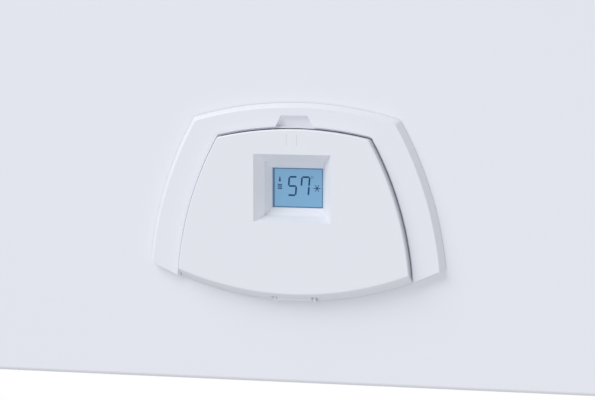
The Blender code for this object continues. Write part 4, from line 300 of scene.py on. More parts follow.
# The cover's opening follows the pod's outline. Its top, foot and sides are circular arcs, and each edge of
# the pod is a true inset of them.
POD_TOP, POD_TOP_CORNER = 0.1693, (0.0650, 0.1599)
POD_LOW, POD_LOW_CORNER = 0.0498, (0.0933, 0.0720)
POD_SIDE_BOW = 0.0050
TOP_STEPS, SIDE_STEPS, CORNER_STEPS = 48, 32, 5


def arc_through(a, b, bow, bulge):
    """The centre and radius of an arc between two points that rises by its bow, towards its bulge."""
    a, b, bulge = Vector(a), Vector(b), Vector(bulge).normalized()
    half = (b - a).length / 2
    radius = (half * half + bow * bow) / (2 * bow)
    return (a + b) / 2 - bulge * (radius - bow), radius


def crossing(first, second, near):
    """The crossing of two circles that lies nearer to a point."""
    (c1, r1), (c2, r2) = first, second
    line = c2 - c1
    reach = (line.length_squared + r1 * r1 - r2 * r2) / (2 * line.length)
    height = math.sqrt(r1 * r1 - reach * reach)
    foot = c1 + line.normalized() * reach
    across = Vector((-line.y, line.x)).normalized() * height
    return min((foot + across, foot - across), key=lambda p: (p - Vector(near)).length)


def swept(arc, start, end, steps, trim_start, trim_end):
    """Points along an arc from start to end, both included, with a length left out at each end."""
    centre, radius = arc
    a = math.atan2(*reversed(start - centre))
    turn = math.remainder(math.atan2(*reversed(end - centre)) - a, 2 * math.pi)
    way = math.copysign(1.0, turn)
    a, turn = a + way * trim_start / radius, turn - way * (trim_start + trim_end) / radius
    angles = [a + turn * i / steps for i in range(steps + 1)]
    return [centre + radius * Vector((math.cos(t), math.sin(t))) for t in angles]


top_arc = arc_through((-POD_TOP_CORNER[0], POD_TOP_CORNER[1]), POD_TOP_CORNER,
                      POD_TOP - POD_TOP_CORNER[1], (0, 1))
low_arc = arc_through((-POD_LOW_CORNER[0], POD_LOW_CORNER[1]), POD_LOW_CORNER,
                      POD_LOW_CORNER[1] - POD_LOW, (0, -1))
side_arc = arc_through(POD_TOP_CORNER, POD_LOW_CORNER, POD_SIDE_BOW, (
    POD_TOP_CORNER[1] - POD_LOW_CORNER[1], POD_LOW_CORNER[0] - POD_TOP_CORNER[0]))


def pod_corners(side, top, low):
    """The arcs of an inset pod outline, and its four corners from the upper right one round."""
    arcs = [(top_arc[0], top_arc[1] - top), (side_arc[0], side_arc[1] - side), (low_arc[0], low_arc[1] - low)]
    mirror = Vector((-1, 1))
    high, foot = crossing(arcs[0], arcs[1], POD_TOP_CORNER), crossing(arcs[2], arcs[1], POD_LOW_CORNER)
    left = (arcs[1][0] * mirror, arcs[1][1])
    return [arcs[0], left, arcs[2], arcs[1]], [high, high * mirror, foot * mirror, foot]


def rounded(before, corner, after):
    """The inner points of a corner's curve between the ends of two arcs."""
    shares = [i / CORNER_STEPS for i in range(1, CORNER_STEPS)]
    return [before * (1 - t) ** 2 + corner * (2 * t * (1 - t)) + after * t ** 2 for t in shares]


def pod_outline(side, top, low, radius=0.0003):
    """The pod's outline as (x, height) points, inset at its sides, top and foot, its corners rounded."""
    arcs, corners = pod_corners(side, top, low)
    steps = [TOP_STEPS, SIDE_STEPS] * 2
    runs = [swept(arcs[i], corners[i], corners[(i + 1) % 4], steps[i], radius, radius) for i in range(4)]
    points = []
    for i, run in enumerate(runs):
        points += run + rounded(run[-1], corners[(i + 1) % 4], runs[(i + 1) % 4][0])
    return points


def pod_band(side, top, radius):
    """The outline's part up the right side, over the top and down the left side."""
    (top_run, left, _, right), (high, high_left, foot_left, foot) = pod_corners(side, top, 0)
    rise = swept(right, foot, high, SIDE_STEPS, 0, radius)
    over = swept(top_run, high, high_left, TOP_STEPS, radius, radius)
    fall = swept(left, high_left, foot_left, SIDE_STEPS, radius, 0)
    return rise + rounded(rise[-1], high, over[0]) + over + rounded(over[-1], high_left, fall[0]) + fall


BEZEL_LEG, BEZEL_RAIL = 0.0165, 0.0116
BEZEL_SIDE_RAKE, BEZEL_TOP_RAKE, BEZEL_OUT = 0.0031, 0.0027, 0.0046
OPENING_SIDE, OPENING_TOP = BEZEL_SIDE_RAKE + BEZEL_LEG, BEZEL_TOP_RAKE + BEZEL_RAIL
TRAY_WALL, TRAY_RISE = 0.0020, 0.0075
SEAT = 0.0003
CUT_PAST = 0.004  # how far a cutting shape reaches past what it cuts

cover_back = COVER_FACE_Y + COVER_RETURN
cover = body_of_shape("front_cover_shell", box(
    (-CASE_HALF, COVER_FACE_Y, CASE_LOW), (CASE_HALF, cover_back, CASE_TOP)))
soften(cover, COVER_EDGE, 5)
inside = box((-CASE_HALF + COVER_SHEET, COVER_FACE_Y + COVER_SHEET, CASE_LOW + COVER_SHEET),
             (CASE_HALF - COVER_SHEET, cover_back + COVER_RETURN, CASE_TOP - COVER_SHEET))
hole = pod_outline(OPENING_SIDE - TRAY_WALL - FINGER_GAP, OPENING_TOP - TRAY_WALL - FINGER_GAP,
                   TRAY_RISE - FINGER_GAP)
# what is left of the tray's rolled back rim is cut square, a seat's width short of the side panels
back_cut = box((-1, cover_back - SEAT, -1), (1, cover_back + 1, 1))
carve(cover, "DIFFERENCE", inside, solid([ring_at(hole, -CUT_PAST), ring_at(hole, CUT_PAST)]), back_cut)
stand_for("front_cover", cover, case_paint)


# Bezel: the moulded surround of the pod, a wide band with raked edges that runs up one side of the flap, over
# it and down the other. Its back wall forms the tray of the controls. A finger scoop is pressed in its top.
PLASTIC_WHITE = (0.775, 0.795, 0.855)
SCOOP_LOW, SCOOP_TOP, SCOOP_HEIGHT, SCOOP_DEPTH = 0.0117, 0.0082, 0.0066, 0.0030
FASCIA_BACK, FASCIA_PLATE = 0.0140, 0.0020
HINGE_UP, HINGE_OUT, KNUCKLE_RADIUS, KNUCKLE_HALF = 0.0515, 0.0025, 0.0014, 0.0109
EAR_WIDTH, RUNNING, OVERLAP = 0.0019, 0.0005, 0.0002
BEZEL_EDGE, TRAY_EDGE, EAR_EDGE = 0.00035, 0.00025, 0.0004


def moulded(name, colour, roughness=0.40, sheen=0.12):
    """Injection-moulded plastic: a fine spark-eroded grain that softens its gloss."""
    plastic = Finish(name, colour, roughness, Coat_Weight=sheen, Coat_Roughness=0.30)
    eroded = plastic.grain(2600.0, 2.0)
    flow = plastic.grain(14.0, 2.0)
    plastic.rough(roughness - 0.04, roughness + 0.05, flow)
    plastic.tint(flow * 0.08, tuple(c * 0.90 for c in colour))
    return plastic.relief(0.000012, eroded).material


white_plastic = moulded("white_plastic", PLASTIC_WHITE)


POD_CORNER, OPENING_CORNER = 0.0016, 0.0008
base_run, opening_run = pod_band(0, 0, POD_CORNER), pod_band(OPENING_SIDE, OPENING_TOP, OPENING_CORNER)
face_run = pod_band(BEZEL_SIDE_RAKE, BEZEL_TOP_RAKE, POD_CORNER)
bezel = body_of_shape("panel_bezel_frame", solid([
    [at(a, SEAT), at(b, BEZEL_OUT), at(c, BEZEL_OUT), at(c, SEAT)]
    for a, b, c in zip(base_run, face_run, opening_run)]))
scoop_foot = POD_TOP - OPENING_TOP
scoop = [(-SCOOP_LOW, scoop_foot - CUT_PAST), (SCOOP_LOW, scoop_foot - CUT_PAST), (SCOOP_LOW, scoop_foot),
         (SCOOP_TOP, scoop_foot + SCOOP_HEIGHT), (-SCOOP_TOP, scoop_foot + SCOOP_HEIGHT),
         (-SCOOP_LOW, scoop_foot)]
scoop_floor = BEZEL_OUT - SCOOP_DEPTH
carve(bezel, "DIFFERENCE", solid([ring_at(scoop, scoop_floor), ring_at(scoop, BEZEL_OUT + CUT_PAST)]))
soften(bezel, BEZEL_EDGE, 3, 28)

tray_out = pod_outline(OPENING_SIDE - TRAY_WALL, OPENING_TOP - TRAY_WALL, TRAY_RISE)
tray_in = pod_outline(OPENING_SIDE, OPENING_TOP, TRAY_RISE + TRAY_WALL)
tray_back, tray_front = -FASCIA_BACK - FASCIA_PLATE, OVERLAP
tray = body_of_shape("tray", solid([ring_at(tray_out, tray_back), ring_at(tray_out, tray_front),
                                    ring_at(tray_in, tray_front), ring_at(tray_in, tray_back)], closed=True))
soften(tray, TRAY_EDGE, 2, 40)
LIP_WIDTH, LIP_OUT = 0.0009, 0.0026
lip = solid([[at(a, SEAT), at(a, LIP_OUT), at(b, LIP_OUT), at(b, SEAT)] for a, b in zip(
    pod_band(OPENING_SIDE - SEAT, OPENING_TOP - SEAT, OPENING_CORNER),
    pod_band(OPENING_SIDE + LIP_WIDTH, OPENING_TOP + LIP_WIDTH, OPENING_CORNER))])


def merged(target, *others):
    """Adds the meshes of other objects to one object's mesh."""
    shape = bmesh.new()
    shape.from_mesh(target.data)
    for other in others:
        shape.from_mesh(other.data)
        bpy.data.objects.remove(other)
    shape.to_mesh(target.data)
    shape.free()
    return target


def block(left, right, front, back, low, high):
    """A box at the front, by its sides, its distances in front of the cover and its heights."""
    return box((left, out(front), up(low)), (right, out(back), up(high)))


ears = []
sill = POD_LOW + TRAY_RISE
for sign in (-1, 1):
    xs = sorted((sign * (KNUCKLE_HALF + RUNNING), sign * (KNUCKLE_HALF + RUNNING + EAR_WIDTH)))
    ear = body_of_shape("ear", block(*xs, HINGE_OUT + KNUCKLE_RADIUS, RUNNING,
                                     HINGE_UP - KNUCKLE_RADIUS, sill + TRAY_WALL))
    carve(ear, "UNION", block(*xs, RUNNING + OVERLAP, -TRAY_WALL, sill + SEAT, sill + TRAY_WALL))
    ears.append(soften(ear, EAR_EDGE))
merged(bezel, tray, body_of_shape("lip", lip), *ears)
stand_for("panel_bezel", bezel, white_plastic)


# Flap door: one thin moulding hinged along its foot, hollow behind, with its front edge rounded. The display
# is seen through a funnel in its middle, and two short grip slits mark where a finger pulls it open.
DOOR_OUT, DOOR_BACK, DOOR_SIDE_GAP, DOOR_TOP_GAP = 0.00875, 0.0007, 0.0014, 0.0014
DOOR_LOW_RAKE, DOOR_EDGE, DOOR_PLATE, DOOR_WALL = 0.0043, 0.0009, 0.0025, 0.0018
DOOR_SIDE, DOOR_TOP, DOOR_CORNER = OPENING_SIDE + DOOR_SIDE_GAP, OPENING_TOP + DOOR_TOP_GAP, 0.0012
EDGE_STEPS = 5
WINDOW = (0.0242, 0.0979, 0.1384)
WINDOW_HOLE = (0.0190, 0.1012, 0.1341)
FUNNEL_DEPTH, FUNNEL_WALL, FUNNEL_PAST = 0.0060, 0.0015, 0.002
WINDOW_EDGE = 0.0002
SLIT_X, SLIT_WIDTH, SLIT_LOW, SLIT_TOP, SLIT_DEPTH = 0.0032, 0.0009, 0.1438, 0.1504, 0.0002
PIN_RADIUS, PIN_GAP, PIN_BORE_HALF, PIN_EDGE = 0.0009, 0.0037, 0.03, 0.0002
FRONT_PAST = 0.001


def rake_at(distance):
    """How far the flap's raked foot has drawn in at a distance from the cover."""
    return DOOR_LOW_RAKE * (distance - DOOR_BACK) / (DOOR_OUT - DOOR_BACK)


def door_ring(distance, inset):
    """The door's outline at a distance from the cover: its foot is raked and its front edge draws in."""
    low = rake_at(distance) + SEAT + inset
    return ring_at(pod_outline(DOOR_SIDE + inset, DOOR_TOP + inset, low, DOOR_CORNER), distance)


door_sections = [door_ring(DOOR_BACK, 0)]
for i in range(EDGE_STEPS + 1):
    angle = math.pi / 2 * i / EDGE_STEPS
    door_sections.append(door_ring(DOOR_OUT - DOOR_EDGE * (1 - math.sin(angle)),
                                   DOOR_EDGE * (1 - math.cos(angle))))
door = body_of_shape("flap_door_moulding", solid(door_sections))


def rectangle(left, low, right, high):
    return [(left, low), (right, low), (right, high), (left, high)]


def window(half, low, high, distance, grow=0.0):
    """A ring of the funnel, grown by a margin."""
    return ring_at(rectangle(-half - grow, low - grow, half + grow, high + grow), distance)


hollow = solid([ring_at(pod_outline(DOOR_SIDE + DOOR_WALL, DOOR_TOP + DOOR_WALL, rake_at(d) + DOOR_WALL), d)
                for d in (DOOR_BACK - CUT_PAST, DOOR_BACK, DOOR_OUT - DOOR_PLATE)])
funnel_back = DOOR_OUT - FUNNEL_DEPTH
funnel = solid([window(*WINDOW_HOLE, funnel_back, FUNNEL_WALL),
                window(*WINDOW, DOOR_OUT - DOOR_PLATE / 2, FUNNEL_WALL)])
mouth = solid([window(*WINDOW_HOLE, funnel_back - FUNNEL_PAST), window(*WINDOW_HOLE, funnel_back),
               window(*WINDOW, DOOR_OUT - WINDOW_EDGE), window(*WINDOW, DOOR_OUT, WINDOW_EDGE),
               window(*WINDOW, DOOR_OUT + FUNNEL_PAST, WINDOW_EDGE + FUNNEL_PAST)])
carve(door, "DIFFERENCE", hollow)
carve(door, "UNION", funnel)
carve(door, "DIFFERENCE", mouth)
knuckle_turn = Matrix.Translation(at((0, HINGE_UP), HINGE_OUT)) @ Matrix.Rotation(math.pi / 2, 4, "Y")


def round_bar(radius, half, place, steps=32):
    """A round bar along a place's upright axis, half of it to each side."""
    shape = bmesh.new()
    bmesh.ops.create_cone(shape, cap_ends=True, segments=steps, radius1=radius, radius2=radius,
                          depth=2 * half)
    bmesh.ops.transform(shape, matrix=place, verts=shape.verts)
    return shape


carve(door, "UNION", round_bar(KNUCKLE_RADIUS, KNUCKLE_HALF, knuckle_turn))
for sign in (-1, 1):
    xs = sorted((sign * KNUCKLE_HALF, sign * (KNUCKLE_HALF + PIN_GAP)))
    carve(door, "DIFFERENCE", block(*xs, HINGE_OUT + KNUCKLE_RADIUS + FRONT_PAST, DOOR_BACK - CUT_PAST,
                                    POD_LOW - CUT_PAST, HINGE_UP + CUT_PAST))
    x = sign * SLIT_X
    carve(door, "DIFFERENCE", block(x - SLIT_WIDTH / 2, x + SLIT_WIDTH / 2, DOOR_OUT + FRONT_PAST,
                                    DOOR_OUT - SLIT_DEPTH, SLIT_LOW, SLIT_TOP))
carve(door, "DIFFERENCE", round_bar(PIN_RADIUS + SEAT, PIN_BORE_HALF, knuckle_turn))
tidy(door)
stand_for("flap_door", door, white_plastic)

pin = body_of_shape("door_hinge_pin_turned", round_bar(PIN_RADIUS, KNUCKLE_HALF + EAR_WIDTH, knuckle_turn))
soften(pin, PIN_EDGE, 2)


def drawn_steel(name, colour, roughness, stretch):
    """Bright drawn or rolled steel: fine lines along one direction."""
    steel = Finish(name, colour, roughness, 1.0)
    lines = steel.grain(900.0, 3.0, stretch)
    steel.rough(roughness - 0.08, roughness + 0.12, lines)
    steel.mottle(0.25, tuple(c * 0.85 for c in colour), 25.0)
    return steel.relief(0.000008, lines).material


pin_steel = drawn_steel("pin_steel", (0.66, 0.66, 0.67), 0.28, (0.05, 1.0, 1.0))
stand_for("door_hinge_pin", pin, pin_steel)


# Display: a backlit blue liquid-crystal panel sunk behind the fascia's white surround. Its digits are dark
# cells behind the front glass, with a drop, a radiator and a sun beside them.
DISPLAY_HALF, DISPLAY_LOW, DISPLAY_TOP, DISPLAY_BACK = 0.0157, 0.1062, 0.1296, 0.0027
SCREEN_BACK, SCREEN_EDGE, SAME_POINT = 0.005, 0.0002, 0.000001
CELL_THICK, CELL_PROUD, CELL_GAP = 0.00012, 0.00006, 0.00010
DIGIT_WIDTH, DIGIT_HEIGHT, DIGIT_SLANT, STROKE = 0.0059, 0.0121, 0.080, 0.00106
DIGIT_LOW = 0.1129
DISPLAY_BLUE, BACKLIGHT_BLUE, CELL_BLUE = (0.080, 0.185, 0.290), (0.080, 0.184, 0.300), (0.006, 0.055, 0.160)
DIGITS = (  # left end and lit segments of each digit
    (-0.0068, ("top", "high_left", "middle", "low_right", "foot")),
    (0.0012, ("top", "high_left", "high_right", "low_right")))
SEGMENTS = {  # ends of each segment, in shares of the digit's width and height
    "top": ((0, 1), (1, 1)), "middle": ((0, 0.5), (1, 0.5)), "foot": ((0, 0), (1, 0)),
    "high_left": ((0, 1), (0, 0.5)), "high_right": ((1, 1), (1, 0.5)), "low_right": ((1, 0.5), (1, 0))}

glass = Finish("display_backlight", DISPLAY_BLUE, 0.18, Coat_Weight=0.5, Coat_Roughness=0.05,
               Emission_Color=(*BACKLIGHT_BLUE, 1.0), Emission_Strength=1.0)
glass.mottle(0.10, (0.12, 0.23, 0.34), 60.0, 1.0)
screen = body_of_shape("display_panel", block(
    -DISPLAY_HALF, DISPLAY_HALF, -DISPLAY_BACK - CELL_PROUD * 2, -DISPLAY_BACK - SCREEN_BACK,
    DISPLAY_LOW, DISPLAY_TOP))
soften(screen, SCREEN_EDGE, 2)
stand_for("display_screen", screen, glass.material)


def mesh_piece(name, shape, material, body, smooth=35):
    """Makes a shape a piece of its own, which stands for no node."""
    bmesh.ops.remove_doubles(shape, verts=shape.verts, dist=SAME_POINT)
    dress(body_of_shape(name, shape), material, body, smooth)


def flat_cells(polygons, distance, thickness):
    """Thin plates with the given outlines, in front of the case."""
    shape = bmesh.new()
    for polygon in polygons:
        solid([ring_at(polygon, d) for d in (distance - thickness, distance)], shape=shape)
    return shape


def aside(along, width):
    """Half a width, square to a direction."""
    return Vector((-along.y, along.x)) * width / 2


def segment(left, name):
    """One lozenge-ended cell of a seven-segment digit, slanted with it."""
    reach, half = Vector((DIGIT_WIDTH - STROKE, DIGIT_HEIGHT - STROKE)), Vector((STROKE / 2, STROKE / 2))
    a, b = (Vector(end) * reach for end in SEGMENTS[name])
    along = (b - a).normalized()
    across, tip = aside(along, STROKE), along * STROKE / 2
    a, b = a + along * CELL_GAP, b - along * CELL_GAP
    corners = [a, a + tip + across, b - tip + across, b, b - tip - across, a + tip - across]
    return [(left + p.x + p.y * DIGIT_SLANT, DIGIT_LOW + p.y) for p in (corner + half for corner in corners)]


def disc(x, h, radius, steps=20):
    """Points round a circle."""
    turns = [2 * math.pi * i / steps for i in range(steps)]
    return [(x + radius * math.cos(t), h + radius * math.sin(t)) for t in turns]


def ring_cells(x, height, radius, width, steps, gap=0.0):
    """A ring as flat cells, with a gap at its top, in degrees."""
    turns = [math.radians(90 + gap / 2 + (360 - gap) * i / steps) for i in range(steps + 1)]
    ends = [[(x + r * math.cos(t), height + r * math.sin(t)) for t in turns]
            for r in (radius, radius - width)]
    return [[ends[0][i], ends[0][i + 1], ends[1][i + 1], ends[1][i]] for i in range(steps)]


def stroke(a, b, width):
    """A straight bar from one point to another."""
    across = aside((b - a).normalized(), width)
    return [a - across, b - across, b + across, a + across]


cells = [segment(left, name) for left, names in DIGITS for name in names]
SUN, SUN_RAY, SUN_STROKE, SUN_BARS = Vector((0.01213, 0.11781)), 0.0022, 0.00042, 3
for ray in disc(0, 0, SUN_RAY, 2 * SUN_BARS)[:SUN_BARS]:
    cells.append(stroke(SUN - Vector(ray), SUN + Vector(ray), SUN_STROKE))
DROP, DROP_RADIUS, DROP_TIP, DROP_TIP_HALF = Vector((-0.01135, 0.1222)), 0.00066, 0.0024, 0.00018
bowl = [math.radians(a) for a in range(140, 401, 20)]
cells.append([DROP + DROP_RADIUS * Vector((math.cos(a), math.sin(a))) for a in bowl]
             + [DROP + Vector((x, DROP_TIP)) for x in (DROP_TIP_HALF, -DROP_TIP_HALF)])
RADIATOR = (-0.0127, 0.1169, -0.0099, 0.1201)
BARS, BAR_INSET, BAR_PITCH, BAR_WIDTH, RAIL_WIDTH = 4, 0.00011, 0.00072, 0.00034, 0.00024
left, low, right, high = RADIATOR
for i in range(BARS):
    x = left + BAR_INSET + i * BAR_PITCH
    cells.append(rectangle(x, low, x + BAR_WIDTH, high))
for h in (low + RAIL_WIDTH, high - 2 * RAIL_WIDTH):
    cells.append(rectangle(left, h, right, h + RAIL_WIDTH))
ink = Finish("display_ink", CELL_BLUE, 0.25, Coat_Weight=0.15, Coat_Roughness=0.05, Specular_IOR_Level=0.15)
ink.mottle(0.2, (0.02, 0.07, 0.18), 300.0)

# The degree mark is a small ring, paler than the digits. A dark border runs round inside the glass's edge:
# partly the display's own thin border, and its wider left band is painted shade of the recess's left wall.
DEGREE, DEGREE_RADIUS, DEGREE_STROKE, DEGREE_STEPS = (0.0090, 0.12435), 0.00085, 0.00028, 20
SHADED_BORDER_LEFT, BORDER_EDGE = 0.0011, 0.0004
faint = Finish("display_faint_ink", (0.055, 0.150, 0.290), 0.25, Coat_Weight=0.5, Coat_Roughness=0.05)
faint.mottle(0.2, (0.08, 0.19, 0.34), 300.0)
# the wider left band is painted shade, where the recess's left wall shades the glass; the other three sides
# are the display's own thin border
left, right = -DISPLAY_HALF + SHADED_BORDER_LEFT, DISPLAY_HALF - BORDER_EDGE
border_and_shade = [rectangle(-DISPLAY_HALF, DISPLAY_LOW, left, DISPLAY_TOP),
          rectangle(right, DISPLAY_LOW, DISPLAY_HALF, DISPLAY_TOP),
          rectangle(left, DISPLAY_LOW, right, DISPLAY_LOW + BORDER_EDGE),
          rectangle(left, DISPLAY_TOP - BORDER_EDGE, right, DISPLAY_TOP)]
border_and_shade += ring_cells(*DEGREE, DEGREE_RADIUS, DEGREE_STROKE, DEGREE_STEPS)
for name, polygons, finish in (("display_cells", cells, ink), ("display_border", border_and_shade, faint)):
    mesh_piece(name, flat_cells(polygons, -DISPLAY_BACK - CELL_PROUD, CELL_THICK), finish.material,
               "casing", smooth=0)


# Back frame and wall bracket: zinc-dipped sheet steel, punched and folded. The bracket screws to the wall and
# the back frame hooks on it; the crossbar and the bottom rail are riveted between the frame's sides.
ZINC, STEEL = (0.60, 0.62, 0.64), (0.60, 0.60, 0.61)
SHEET_EDGE = 0.0003


def zinc_dipped(name, colour):
    """Galvanised sheet: crystal spangles that differ in shade and gloss, with a pale bloom over them."""
    zinc = Finish(name, colour, 0.42, 1.0)
    spangle = zinc.node("ShaderNodeTexVoronoi", {}, {"Vector": zinc.places(), "Scale": 190.0}, 1)
    shade = zinc.node("ShaderNodeSeparateColor", {}, {"Color": spangle})
    zinc.tint(shade * 0.45 + zinc.grain(18.0, 3.0) * 0.25, tuple(c * 0.74 for c in colour))
    return zinc.rough(0.30, 0.52, shade).relief(0.00001, shade).material


def paint(material, *names):
    """Gives CAD nodes a finish; their shapes stay as they are."""
    for name in names:
        for place in nodes[name].material_slots:
            place.material = material


def refine(node, name, material, radius, segments=2, angle=38):
    """A copy of a CAD node with its edges rounded, which stands for it."""
    piece = soften(linked(name, nodes[node].data.copy()), radius, segments, angle)
    stand_for(node, piece, material, angle)


def refine_all(ending, material, radius, *names):
    """The same for several nodes, with pieces named after them."""
    for node in names:
        refine(node, node + ending, material, radius)


zinc = zinc_dipped("zinc_spangle", ZINC)
refine_all("_sheet", zinc, SHEET_EDGE, "wall_bracket", "back_frame", "lower_crossbar", "bottom_rail")


# Side and top panels: the same enamelled sheet as the cover, folded along their edges. They close the case
# and are screwed to the back frame.
refine_all("_sheet", case_paint, SHEET_EDGE, "left_side_panel", "right_side_panel", "top_panel")


# Control fascia: the plate behind the flap, moulded in the bezel's white plastic. The display's sloped
# surround is one piece with it, and it closes the back of the tray.
FASCIA_EDGE = 0.00015
refine("panel_fascia", "fascia_moulding", white_plastic, FASCIA_EDGE, 2, 20)


# Dials and buttons: two white dials and five grey keys, each moulded with a soft edge. The dials turn in
# holes of the fascia and the keys are pressed in through it.
KEY_GREY = (0.36, 0.38, 0.42)
KNOB_EDGE, CAP_EDGE = 0.0004, 0.0003
grey_plastic = moulded("grey_plastic", KEY_GREY, 0.45)
refine_all("_moulding", white_plastic, KNOB_EDGE, "heating_knob", "hot_water_knob")
refine_all("_cap", grey_plastic, CAP_EDGE,
           "summer_button", "winter_button", "info_button", "reset_button", "power_button")


# Pressure gauge: a black moulded drum, held in the fascia. A red needle turns on a spindle in its middle, and
# a clear window covers its cup.
GAUGE_UP, GAUGE_RADIUS, CUP_RADIUS, LIP_ROUND, DRUM_STEPS = 0.075, 0.0150, 0.0134, 0.0006, 72
GAUGE_FRONT, DIAL_FLOOR_OUT, GAUGE_SHOULDER, GAUGE_BACK = -0.0080, -0.0115, -0.0137, -0.0390
NEEDLE_EDGE = 0.0001
black_plastic = moulded("black_plastic", (0.022, 0.022, 0.024), 0.42)
red_plastic = moulded("red_plastic", (0.60, 0.035, 0.025), 0.34)


def turned(profile, place=Matrix.Identity(4), steps=24):
    """A shape turned round an axis, from (radius, height) pairs."""
    return solid([[place @ Vector((x, y, z)) for x, y in disc(0, 0, r, steps)] for r, z in profile])


def facing_front(x, height, distance):
    """The place of a shape whose upright axis is laid to point out of the front."""
    return Matrix.Translation(at((x, height), distance)) @ Matrix.Rotation(math.pi / 2, 4, "X")


drum = body_of_shape("gauge_drum", turned([
    (CUP_RADIUS, DIAL_FLOOR_OUT), (CUP_RADIUS, GAUGE_FRONT - LIP_ROUND / 2),
    (CUP_RADIUS + LIP_ROUND / 2, GAUGE_FRONT), (GAUGE_RADIUS - LIP_ROUND, GAUGE_FRONT),
    (GAUGE_RADIUS - LIP_ROUND / 4, GAUGE_FRONT - LIP_ROUND / 4), (GAUGE_RADIUS, GAUGE_FRONT - LIP_ROUND),
    (GAUGE_RADIUS, GAUGE_SHOULDER), (CUP_RADIUS, GAUGE_SHOULDER), (CUP_RADIUS, GAUGE_BACK)],
    facing_front(0, GAUGE_UP, 0), DRUM_STEPS))
stand_for("pressure_gauge", drum, black_plastic)
refine("gauge_needle", "needle", red_plastic, NEEDLE_EDGE)
clear = Finish("gauge_window", (0.95, 0.97, 0.98), 0.04, Transmission_Weight=1.0, IOR=1.46)
clear.rough(0.03, 0.07, clear.grain(40.0, 2.0))
paint(clear.material, "gauge_glass")


# Control box and board: a grey moulded box behind the pod. The electronics stand inside it on a board of
# green laminate, with printed traces on its front and black parts on its back.
refine("control_box", "control_box_moulding", grey_plastic, KNOB_EDGE)
LAMINATE_GREEN, TRACE_GREEN, PART_BLACK = (0.014, 0.130, 0.055), (0.050, 0.260, 0.110), (0.030, 0.032, 0.040)
TRACE_PITCH, LAMINATE_BACK = 0.0034, -0.2269
board = Finish("board_laminate", LAMINATE_GREEN, 0.28, Coat_Weight=0.6, Coat_Roughness=0.12)
place = board.places()
spread = {key: board.node("ShaderNodeSeparateXYZ", {}, {0: place}, key) for key in "XYZ"}
flat = board.node("ShaderNodeCombineXYZ", {}, {0: spread["X"], 1: spread["Z"]})
traces = board.node("ShaderNodeTexBrick", {"offset": 0.37, "squash": 0.6}, {
    "Vector": flat, "Color1": (*LAMINATE_GREEN, 1), "Color2": (*(c * 1.3 for c in LAMINATE_GREEN), 1),
    "Mortar": (*TRACE_GREEN, 1), "Scale": 1 / TRACE_PITCH, "Mortar Size": 0.06, "Brick Width": 2.2,
    "Row Height": 0.5})
board.tint(spread["Y"] > LAMINATE_BACK, PART_BLACK, traces)
board.relief(0.00001, board.grain(1500.0, 1.0))
paint(board.material, "circuit_board")


# Water group: hot-pressed and turned brass, with a folded stainless plate exchanger between its two ends. The
# tails are screwed into it from below, and its motors and the air pressure switch have black moulded cases.
BRASS = (0.74, 0.57, 0.28)
BRASS_EDGE, TAIL_EDGE, PLATE_EDGE, MOTOR_EDGE = 0.0005, 0.0004, 0.0003, 0.0006


def turned_brass(name, colour):
    """Brass as pressed or turned: fine rings round upright axes, dulled in patches by handling."""
    brass = Finish(name, colour, 0.32, 1.0)
    dull = brass.grain(45.0, 4.0)
    brass.tint(dull * 0.5, (0.50, 0.36, 0.17))
    rings = brass.grain(1300.0, 2.0, (0.06, 0.06, 1.0))
    return brass.rough(0.24, 0.44, dull).relief(0.000012, rings).material


brass = turned_brass("turned_brass", BRASS)
stainless = drawn_steel("stainless_sheet", STEEL, 0.30, (1.0, 1.0, 0.05))
refine_all("_brass", brass, BRASS_EDGE, "flow_group", "return_group", "pump_body", "air_vent")
refine_all("_brass", brass, TAIL_EDGE,
           "heating_flow_tail", "hot_water_tail", "gas_tail", "cold_water_tail", "heating_return_tail")
refine("plate_exchanger", "plate_pack", stainless, PLATE_EDGE)
refine_all("_case", black_plastic, MOTOR_EDGE, "diverter_motor", "pump_motor", "air_pressure_switch")


# Hand knobs of the water group: a black filling knob and a red safety valve knob. Both are moulded and pushed
# on the spindles that they turn.
refine_all("_moulding", black_plastic, KNOB_EDGE, "filling_knob")
refine_all("_moulding", red_plastic, KNOB_EDGE, "safety_valve_knob")


# Gas line: a die-cast valve, steel pipes, and the manifold that feeds the burner's blades. The flue hood and
# the fan are cast in the same alloy. The burner and the pieces round it are pressed from stainless steel.
CASTING_EDGE, PRESSED_EDGE, PIPE_EDGE = 0.0003, 0.0002, 0.0003


def cast_metal(name, colour):
    """Pressure-cast aluminium alloy: a fine granular skin with darker flow marks."""
    metal = Finish(name, colour, 0.46, 1.0)
    skin = metal.grain(900.0, 3.0)
    metal.mottle(0.5, tuple(c * 0.78 for c in colour), 28.0, 4.0)
    return metal.rough(0.38, 0.58, skin).relief(0.00004, skin).material


aluminium = cast_metal("cast_aluminium", (0.70, 0.70, 0.71))
refine_all("_casting", aluminium, CASTING_EDGE,
           "gas_valve", "gas_manifold", "flue_hood", "fan_housing", "fan_impeller")
refine_all("_steel", stainless, PRESSED_EDGE,
           "burner_gas_pipe", "burner", "electrode_set", "combustion_chamber", "fan_motor")


def straight_pipe(node, material):
    """A round upright pipe, as wide and as long as its node."""
    low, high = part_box(node)
    bar = round_bar((high.x - low.x) / 2, (high.z - low.z) / 2, Matrix.Translation((low + high) / 2), 48)
    stand_for(node, soften(body_of_shape(node + "_drawn", bar), PIPE_EDGE, 2), material)


straight_pipe("gas_inlet_pipe", stainless)


# Sealed chamber: the zinc-dipped box round the burner, folded and riveted, with a lid on its front. Boards of
# pale ceramic fibre line the combustion chamber inside it.
refine_all("_sheet", zinc, SHEET_EDGE, "sealed_chamber", "chamber_lid")
fibre = Finish("ceramic_fibre", (0.83, 0.81, 0.75), 0.95)
tufts = fibre.grain(340.0, 6.0, (1.0, 1.0, 0.35), 0.7)
fibre.tint(tufts * 0.35, (0.66, 0.63, 0.57))
paint(fibre.relief(0.0004, tufts).material, "insulation_lining")


